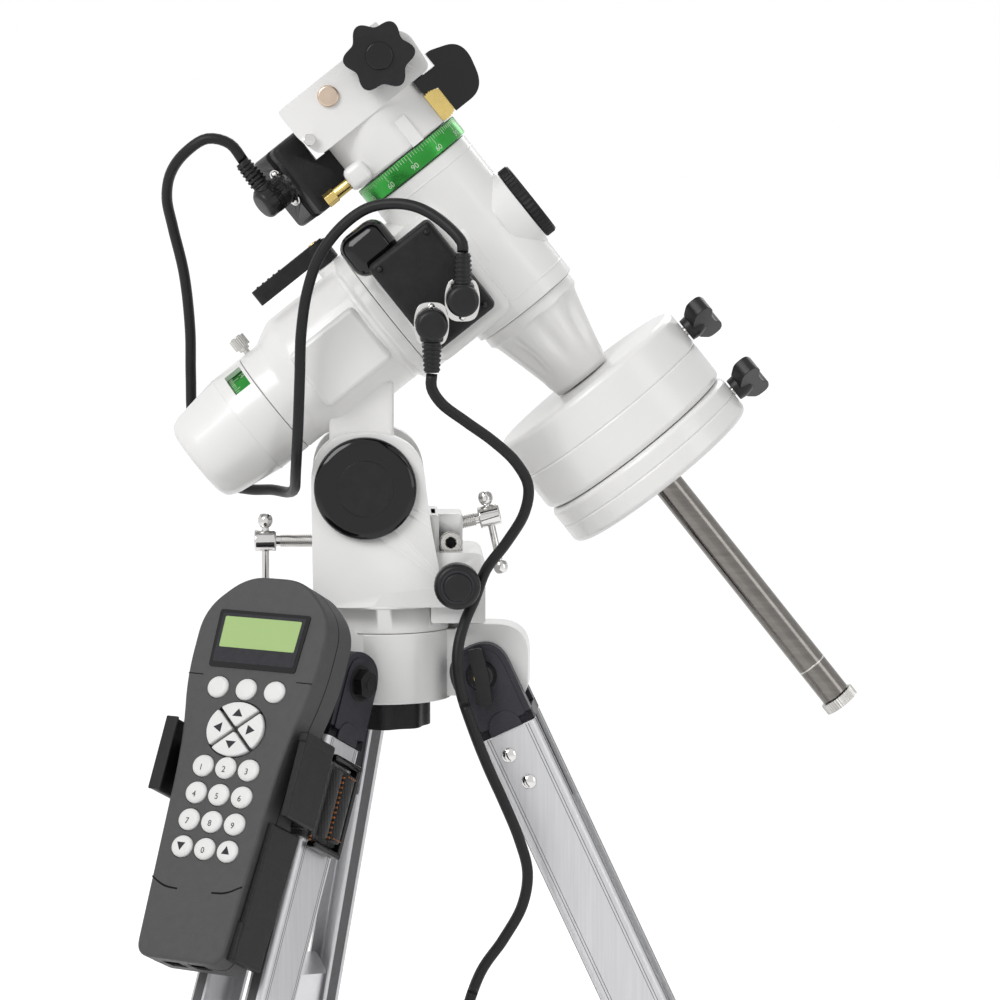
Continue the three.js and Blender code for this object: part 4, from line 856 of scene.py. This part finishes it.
def head():
    drum_end = -67.3
    block_line = rounded([(-97, -39, 5), (-97, 43, 5), (-120, 45, 4), (-132, 37, 3), (-132, -43, 3), (-112, -43, 4)], 6)
    groove_line = [(-19, -133), (22, -133), (26.5, -118.4), (26.5, -116), (-23.5, -116), (-23.5, -118.4)]
    groove = [(y, x, z) for x, y, z in prism(groove_line, "z", -48, 50)[0]], prism(groove_line, "z", -48, 50)[1]
    shells = [
        lathe([(0, -101), (37, -101, 1), (37, drum_end - 1, 1), (35.5, drum_end, 0.6), (0, drum_end)], "x", 128),
        prism(block_line, "y", -38, 40),
        box(-82, -67.5, -42, -24, -36, -22, 4),
        prism(rounded([(-39.5, 6, 1), (-32, 6, 1), (-32, 14, 1), (-39.5, 14, 1)], 2), "x", drum_end - 18, drum_end),
        lathe([(0, -41.5), (11, -41.5, 1), (13, -38, 1), (0, -38)], "y", 64, (-120.8, 0, 23.5)),
        rod(34, -86.3, -85.1, "x", 128, edge=0.3),
    ]
    button = lathe([(0, -40.4), (5.6, -40.4, 0.8), (6.3, -39.6, 0.5), (6.3, -37), (0, -37)], "y", 64, (-121, 0, -14))
    bolt = [rod(3.8, -43, -36, "y", 6, (-108, 0, -38), 0.6)]
    top = [rod(4.6, -137.5, -131, "x", 6, (0, -26, 30), 0.8), rod(6, -133, -131.5, "x", 48, (0, -26, 30), 0.3)]
    piece("saddle_casting", POLAR, {WHITE: shells, BRONZE: [button], CHROME: bolt + top}, "declination",
          ["declination_head"], 1.0, [groove, rod(4.4, -45, 0, "y", 32, (-120.8, 0, 23.5), 0)])
    star = prism(lobes(21, 16.5, 6, 16), "y", -60, -46)
    piece("saddle_star", POLAR @ move(-120.8, 0, 23.5), {
        SATIN: [star, rod(8, -47, -41.6, "y", 48)], GLOSS: [rod(8, -62, -58, "y", 64, edge=0.8)],
        STEEL: [rod(4, -42, -24, "y", 24)],
    }, "saddle_knob", ["saddle_knob"], 1.6)
    circle = ring(30, 35.5, -66.3, -54.7, "x", 128)
    numbers = [str(n) for n in (0, 30, 60, 90, 60, 30, 0, 30, 60, 90, 60, 30)]
    piece("declination_ring", POLAR, {GREEN: [circle], SCALE: scale_ring(35.5, -66, "x", numbers, -1, 11)},
          "declination_circle", ["declination_circle"], 0)
    piece("clutch_screw", POLAR @ move(-74, -33, 0), {BRASS: [rod(4.5, -53, -46, "z", 6, edge=0.5), rod(3.6, -46.5, -36.3, "z", 32)],
                                                      STEEL: [rod(2.5, -40, -26, "z", 24)]},
          "declination_clutch_screw", ["declination_clutch_screw"], 0.2)
    clear = [rod(37.3, -130, -54, "x", 96, edge=0), box(-137, -96.2, -60, 60, -43.3, 45.3)]
    here = move(0, -27, -59) @ turn(-22, "X")
    case = box(-117, -70, 0, 48, 0, 32, 3.5, 4)
    seam = box(-117.15, -69.85, 14, 14.5, -0.15, 32.15, 3.5, 4)
    flange = move(-95, 20, 0) @ turn(90, "X") @ turn(180, "Y")
    table = merge({BLACK: [moved(case, here)], SHADOW: [moved(seam, here)]},
                  {m: [moved(s, here) for s in shells] for m, shells in plug_shells(flange, True, 27.6).items()})
    piece("declination_drive", POLAR, table, "declination", ["declination_motor_drive"], 0.3, clear)
    hood = prism(rounded([(-68, 39), (-68, 60, 12), (-98, 68, 14), (-106, 46, 5), (-97, 30), (-88, 30), (-85, 39)], 10),
                 "y", -26, 30)
    gear = knurled(10, -23, -13, "y", 36, 0.9, (-77, 0, 33))
    piece("declination_hood", POLAR, {GLOSS: [hood], BRASS: [gear]}, "declination", ["declination_gear_cover"],
          3.5, clear)


# ---------- counterweights ----------


def weights():
    for name, start, thick, knob in (("large", 103, 49, 119), ("small", 152.3, 25.5, 164.3)):
        end = start + thick
        groove = start + (24 if name == "large" else 12)
        profile = [(9.4, start, 0.6), (12, start, 0.6), (61.5, start, 2), (64, start + 2.5, 1.5), (64, groove - 0.8, 0.3),
                   (63.3, groove, 0.2), (64, groove + 0.8, 0.3), (64, end - 2.5, 1.5), (61.5, end, 2), (9.4, end, 0.6)]
        disc = lathe([*profile, profile[0]], "x", 160, steps=3)
        hole = rod(3.4, 5, 70, "z", 24, (knob, 0, 0), 0)
        piece(f"{name}_disc", POLAR, {WHITE: [disc]}, f"{name}_weight", [f"{name}_weight"], 0, [hole])
        here = POLAR @ move(knob, 0, 0)
        wings = prism(rounded([(-8, 69, 2), (8, 69, 2), (17, 74, 3), (17.5, 83, 6), (9, 85, 3), (5, 82, 3), (-5, 82, 3),
                               (-9, 85, 3), (-17.5, 83, 6), (-17, 74, 3)], 6), "x", -5, 5)
        piece(f"{name}_wing_knob", here @ turn(-32, "Z"), {
            SATIN: [wings, lathe([(0, 65), (7, 65, 0.5), (7.5, 70, 1), (6, 76, 2), (0, 76)], "z", 48)],
            STEEL: [rod(3, 9.7, 70, "z", 32)],
        }, f"{name}_weight_knob", [f"{name}_weight_knob"], 1.6)

# ---------- hand controller, in the front leg's frame ----------

HANDSET = {"top": 40, "bottom": -188, "half": 45, "hip": 36, "foot": 30, "back": 40, "thick": 27, "centre": -3}
FACE = HANDSET["back"] + HANDSET["thick"]
PAD = -52
OVAL = Matrix.Diagonal((1, 1.06, 0.95, 1))
PAD_OVAL = Matrix.Diagonal((1, 1, 0.82, 1))


def controller_outline(grow=0.0):
    h = HANDSET
    side = [(h["foot"] + grow, h["bottom"] - grow, 9), (h["hip"] + grow, -62, 25), (h["half"] + grow, h["top"] - 62, 16),
            (h["half"] + grow, h["top"] - 22, 14), (20, h["top"] + grow, 13)]
    return rounded([*side, *[(-y, z, r) for y, z, r in reversed(side)]], 8)


def key_places():
    places = [(-20, -28, "bar"), (0, -28, "bar"), (20, -28, "bar")]
    for row in range(4):
        for column in range(3):
            text = "down 0 up".split()[column] if row == 3 else str(row * 3 + column + 1)
            places.append((-16 + 16 * column, -75 - 16 * row, text))
    return places


def handset():
    h = HANDSET
    middle = leg_frame("front") @ move(0, h["centre"], 0)
    back = h["back"]
    holes = [moved(rod(7.25, FACE - 4, FACE + 1, "x", 48, edge=0), move(0, y, z) @ OVAL) for y, z, _ in key_places()]
    holes.append(moved(rod(20.6, FACE - 4, FACE + 1, "x", 96, edge=0), move(0, 0, PAD) @ PAD_OVAL))
    holes += [box(back + 8, back + 19, u - 6, u + 6, h["bottom"] - 0.2, h["bottom"] + 6) for u in (-10, 8)]
    shell = slab(controller_outline, "x", back, FACE, 2.2)
    rim = prism(controller_outline(0.06), "x", back + 13.2, back + 13.8)
    bezel = prism(rounded([(-30.5, -16, 2), (30.5, -16, 2), (32, 18.5, 2), (-32, 18.5, 2)], 5), "x", FACE - 1, FACE + 0.6)
    frame_line = prism(rounded([(-28.5, -13, 1), (28.5, -13, 1), (29.4, 16.5, 1), (-29.4, 16.5, 1)], 3), "x", FACE,
                       FACE + 0.75)
    glass = prism(rounded([(-26.4, -4, 1), (26.4, -4, 1), (27, 14.5, 1), (-27, 14.5, 1)], 3), "x", FACE, FACE + 0.95)
    marks = []
    for side in (-1, 1):
        marks.append(box(FACE - 0.4, FACE + 0.06, *sorted((side * 33, side * 43.5)), -21.4, -20.8))
        mark = rounded([(12, -147), (22, -146.4, 6), (31.5, -141.6), (31.5, -142.6), (22, -147.6, 6), (12, -148)], 6)
        mark = mark if side > 0 else [(-y, z) for y, z in reversed(mark)]
        marks.append(prism(mark, "x", FACE - 0.4, FACE + 0.08))
    piece("controller_case", middle, {GREY: [bored(shell, *holes)], SHADOW: [rim, *marks], GLOSS: [bezel],
                                      INK: [frame_line], LCD: [glass]},
          "handset", ["handset_case"], 0.15)
    key = lathe([(0, FACE - 6), (6.8, FACE - 6), (6.8, FACE + 0.6, 0.6), (5.5, FACE + 2, 1.4), (0, FACE + 2.1)], "x", 48)
    keys = [moved(key, move(0, y, z) @ OVAL) for y, z, _ in key_places()]

    def quarter(grow):
        arc = [(math.cos(math.radians(a)) * (19.6 + grow), math.sin(math.radians(a)) * (19.6 + grow))
               for a in range(8, 84, 5)]
        inset = 1.1 - grow
        return rounded([(inset, inset, 1.6), (19.5 + grow, inset, 2.2), *arc, (inset, 19.5 + grow, 2.2)], 4)

    quarters = [moved(slab(quarter, "x", FACE - 6, FACE + 2.2, 1.2), move(0, 0, PAD) @ PAD_OVAL @ turn(45 + 90 * i, "X"))
                for i in range(4)]
    arrow = prism([(9, -3.6), (14.6, 0), (9, 3.6)], "x", FACE + 1.8, FACE + 2.3)
    prints = [moved(arrow, move(0, 0, PAD) @ PAD_OVAL @ turn(90 * i, "X")) for i in range(4)]
    for y, z, text in key_places():
        if text.isdigit():
            prints.append(digits(text, 5, move(FACE + 2.1, y, z - 1.4) @ turn(90, "Y") @ turn(90, "Z"), INK, 0.1))
        if text in ("up", "down"):
            sign = 1 if text == "up" else -1
            prints.append(prism([(y - 2.8, z - 2 * sign), (y + 2.8, z - 2 * sign), (y, z + 2.8 * sign)], "x", FACE + 1.8,
                                FACE + 2.2))
    mat = box(FACE - 6.5, FACE - 4.4, -25, 25, -131, -19, 0.8)
    piece("controller_keys", middle, {KEY: [*keys, *quarters, mat], INK: prints}, "keypad", ["keypad"], 0)


def webbing_material():
    mat = material("woven webbing", (0.02, 0.02, 0.022), 0.75, spread=0.3, grain=2600, bump=0.3, sheen=0.3)
    nodes, links = mat.node_tree.nodes, mat.node_tree.links
    shader = nodes["Principled BSDF"]
    coords = nodes.new("ShaderNodeTexCoord")
    waves = []
    for direction, scale in (("X", 190), ("Z", 260)):
        wave = nodes.new("ShaderNodeTexWave")
        wave.bands_direction = direction
        wave.inputs["Scale"].default_value = scale
        links.new(coords.outputs["Object"], wave.inputs["Vector"])
        waves.append(wave)
    both = nodes.new("ShaderNodeMath")
    both.operation = "MULTIPLY"
    for i, wave in enumerate(waves):
        links.new(wave.outputs["Fac"], both.inputs[i])
    relief = nodes.new("ShaderNodeBump")
    relief.inputs["Strength"].default_value = 0.6
    relief.inputs["Distance"].default_value = 0.0006
    links.new(both.outputs["Value"], relief.inputs["Height"])
    links.new(relief.outputs["Normal"], shader.inputs["Normal"])
    return mat


def cradle():
    here = leg_frame("front")
    h = HANDSET
    centre, hip, foot = h["centre"], h["hip"], h["foot"]
    floor, low = h["back"] - 6, h["bottom"] + 6

    def half_at(z):
        return foot + (hip - foot) * (z - h["bottom"]) / (-62 - h["bottom"]) + 0.3

    wall = rounded([(centre + half_at(low), low), (centre + half_at(low) + 4, low, 2), (centre + half_at(-102) + 4, -102, 2),
                    (centre + half_at(-102), -102)], 4)
    right = centre + hip
    wing = rounded([(right + 6, -98, 2), (right + 11, -98, 2), (right + 11, -50, 2), (right + 6, -50, 2)], 4)
    tab = rounded([(centre - hip - 13, -92, 1.8), (centre - hip - 8, -92, 1.8), (centre - hip - 8, -48, 1.8),
                   (centre - hip - 13, -48, 1.8)], 4)
    shells = [
        box(floor, h["back"] - 0.3, centre - foot - 2, centre + foot + 2, low, -45, 2),
        prism(wall, "x", floor, FACE - 6),
        box(floor, h["back"] - 1, centre + foot, centre + foot + 4, low, -102, 1),
        box(floor, h["back"] - 1, centre + foot, right + 10, -98, -50, 1),
        prism(wing, "x", floor, FACE - 4), prism(tab, "x", floor, FACE + 2),
        box(floor, h["back"] - 1, centre - hip - 12, centre - foot, -84, -56, 1),
        box(18.3, floor + 1, -20, 12, -50, -45, 1), box(18.3, floor + 1, -20, 12, -150, -100, 1),
    ]
    stop = [box(floor, FACE - 5, centre + half_at(low) - 1.6, centre + half_at(low) + 4.6, low - 1, low + 22, 1.2),
            box(floor, FACE - 3, right + 5.4, right + 11.6, -54, -48, 1.4),
            box(FACE + 0.5, FACE + 2.2, centre - hip - 13.5, centre - hip - 5, -92, -48, 0.8)]
    piece("controller_cradle", here, {BLACK: shells + stop}, "front_leg", ["handset_cradle"], 0.6)


def strap():
    here = leg_frame("front")
    web = webbing_material()
    x, y = LEG_SIDE + 0.3, LEG_HALF + 0.3
    top, bottom = -52, -98

    def loop(grow, radius):
        u, v = x + grow, y + grow
        return rounded([(-u, -v, radius), (u, -v, radius), (u, v, radius), (-u, v, radius)], 5)

    outer, inner = loop(2.2, 5), loop(0, 3.4)
    points, faces = prism(outer, "z", bottom, top)
    hole, hole_faces = prism(inner, "z", bottom, top)
    count = len(outer)
    points = points + hole
    sides = faces[2:] + [tuple(i + 2 * count for i in reversed(f)) for f in hole_faces[2:]]
    caps = []
    for i in range(count):
        n = (i + 1) % count
        caps.append((i, n, n + 2 * count, i + 2 * count))
        caps.append((i + count, i + 3 * count, n + 3 * count, n + count))
    band = points, sides + caps
    face = y + 2.2
    # the webbing doubles back through a moulded loop frame on the leg's right-hand side
    doubled = [box(-10, 16.5, face - 0.4, face + 2.2, bottom + 1, top - 1, 0.8),
               lathe([(0, bottom + 3), (5, bottom + 3, 1.5), (5, top - 3, 1.5), (0, top - 3)], "z", 32, (-3.5, face + 2.4, 0)),
               lathe([(0, bottom + 3), (4.4, bottom + 3, 1.5), (4.4, top - 3, 1.5), (0, top - 3)], "z", 32,
                     (7.5, face + 1.6, 0))]
    hems = []
    for z in (bottom + 4.5, top - 4.5):
        for i in range(4):
            a = 2.2 * i
            hems.append(box(-6.5 + a, -5.1 + a, face + 7.1, face + 7.45, z - 0.3, z + 0.3))
    ends = [box(2.1, 3, face + 2.2, face + 5.6, z0, z0 + 1.1, 0.3) for z0 in range(bottom + 4, top - 4, 3)]
    fray = [box(15.8, 17.2, face + 1.6, face + 2.5, bottom - 1.5 + i, bottom - 0.4 + i, 0.3) for i in range(0, 4, 2)]
    frame_side = [box(-12.4, -8.6, face - 0.5, face + 6.4, bottom - 5, top + 5, 1.7, 4),
                  box(-12.4, 16, face - 0.5, face + 6.4, bottom - 5, bottom - 1, 1.7, 4),
                  box(-12.4, 16, face - 0.5, face + 6.4, top + 1, top + 5, 1.7, 4)]
    piece("leg_strap", here, {web: [band, *doubled], THREAD: hems + ends + fray, GLOSS: frame_side}, "front_leg",
          ["cradle_strap"], 0.3)


# ---------- floor, backdrop and light ----------


def stage():
    mesh = bpy.data.meshes.new("floor")
    half = 40
    mesh.from_pydata([(-half, -half, 0), (half, -half, 0), (half, half, 0), (-half, half, 0)], [], [(0, 1, 2, 3)])
    floor = bpy.data.objects.new("floor", mesh)
    bpy.context.scene.collection.objects.link(floor)
    mat = bpy.data.materials.new("floor")
    mat.use_nodes = True
    nodes, links = mat.node_tree.nodes, mat.node_tree.links
    shader = nodes["Principled BSDF"]
    shader.inputs["Base Color"].default_value = (0.8, 0.8, 0.8, 1)
    shader.inputs["Roughness"].default_value = 0.9
    rays = nodes.new("ShaderNodeLightPath")
    glow = nodes.new("ShaderNodeEmission")
    seen = nodes.new("ShaderNodeMath")
    seen.operation = "MAXIMUM"
    links.new(rays.outputs["Is Camera Ray"], seen.inputs[0])
    links.new(rays.outputs["Is Glossy Ray"], seen.inputs[1])
    level = nodes.new("ShaderNodeMath")
    level.operation = "MULTIPLY"
    level.inputs[1].default_value = 0.62
    links.new(seen.outputs["Value"], level.inputs[0])
    links.new(level.outputs["Value"], glow.inputs["Strength"])
    total = nodes.new("ShaderNodeAddShader")
    links.new(shader.outputs["BSDF"], total.inputs[0])
    links.new(glow.outputs["Emission"], total.inputs[1])
    links.new(total.outputs["Shader"], nodes["Material Output"].inputs["Surface"])
    mesh.materials.append(mat)

    world = bpy.data.worlds.new("studio")
    bpy.context.scene.world = world
    world.use_nodes = True
    nodes, links = world.node_tree.nodes, world.node_tree.links
    sky = nodes["Background"]
    rays = nodes.new("ShaderNodeLightPath")
    pick = nodes.new("ShaderNodeMapRange")
    pick.inputs["To Min"].default_value = 0.5
    pick.inputs["To Max"].default_value = 1.0
    seen = nodes.new("ShaderNodeMath")
    seen.operation = "MAXIMUM"
    links.new(rays.outputs["Is Camera Ray"], seen.inputs[0])
    links.new(rays.outputs["Is Glossy Ray"], seen.inputs[1])
    links.new(seen.outputs["Value"], pick.inputs["Value"])
    links.new(pick.outputs["Result"], sky.inputs["Strength"])
    sky.inputs["Color"].default_value = (1, 1, 1, 1)

    def lamp(name, at, size, watts):
        data = bpy.data.lights.new(name, "AREA")
        data.shape = "RECTANGLE"
        data.size, data.size_y = size
        data.energy = watts
        obj = bpy.data.objects.new(name, data)
        bpy.context.scene.collection.objects.link(obj)
        obj.location = at
        aim = Vector((0, 0, 0.8)) - Vector(at)
        obj.rotation_euler = aim.to_track_quat("-Z", "Y").to_euler()

    lamp("key", (-1.6, -1.9, 2.4), (1.4, 1.4), 42)
    lamp("fill", (2.2, -1.6, 1.5), (1.0, 1.8), 10)
    lamp("back", (0.6, 2.2, 2.2), (1.8, 1.0), 16)


bpy.context.scene.view_settings.view_transform = "Standard"
tripod_head()
for leg_name in LEG_AZIMUTH:
    leg(leg_name)
base_casting()
altitude_bolts()
azimuth_knobs()
polar_parts()
turning_parts()
motor()
head()
weights()
handset()
cradle()
strap()
stage()

bpy.context.view_layer.update()
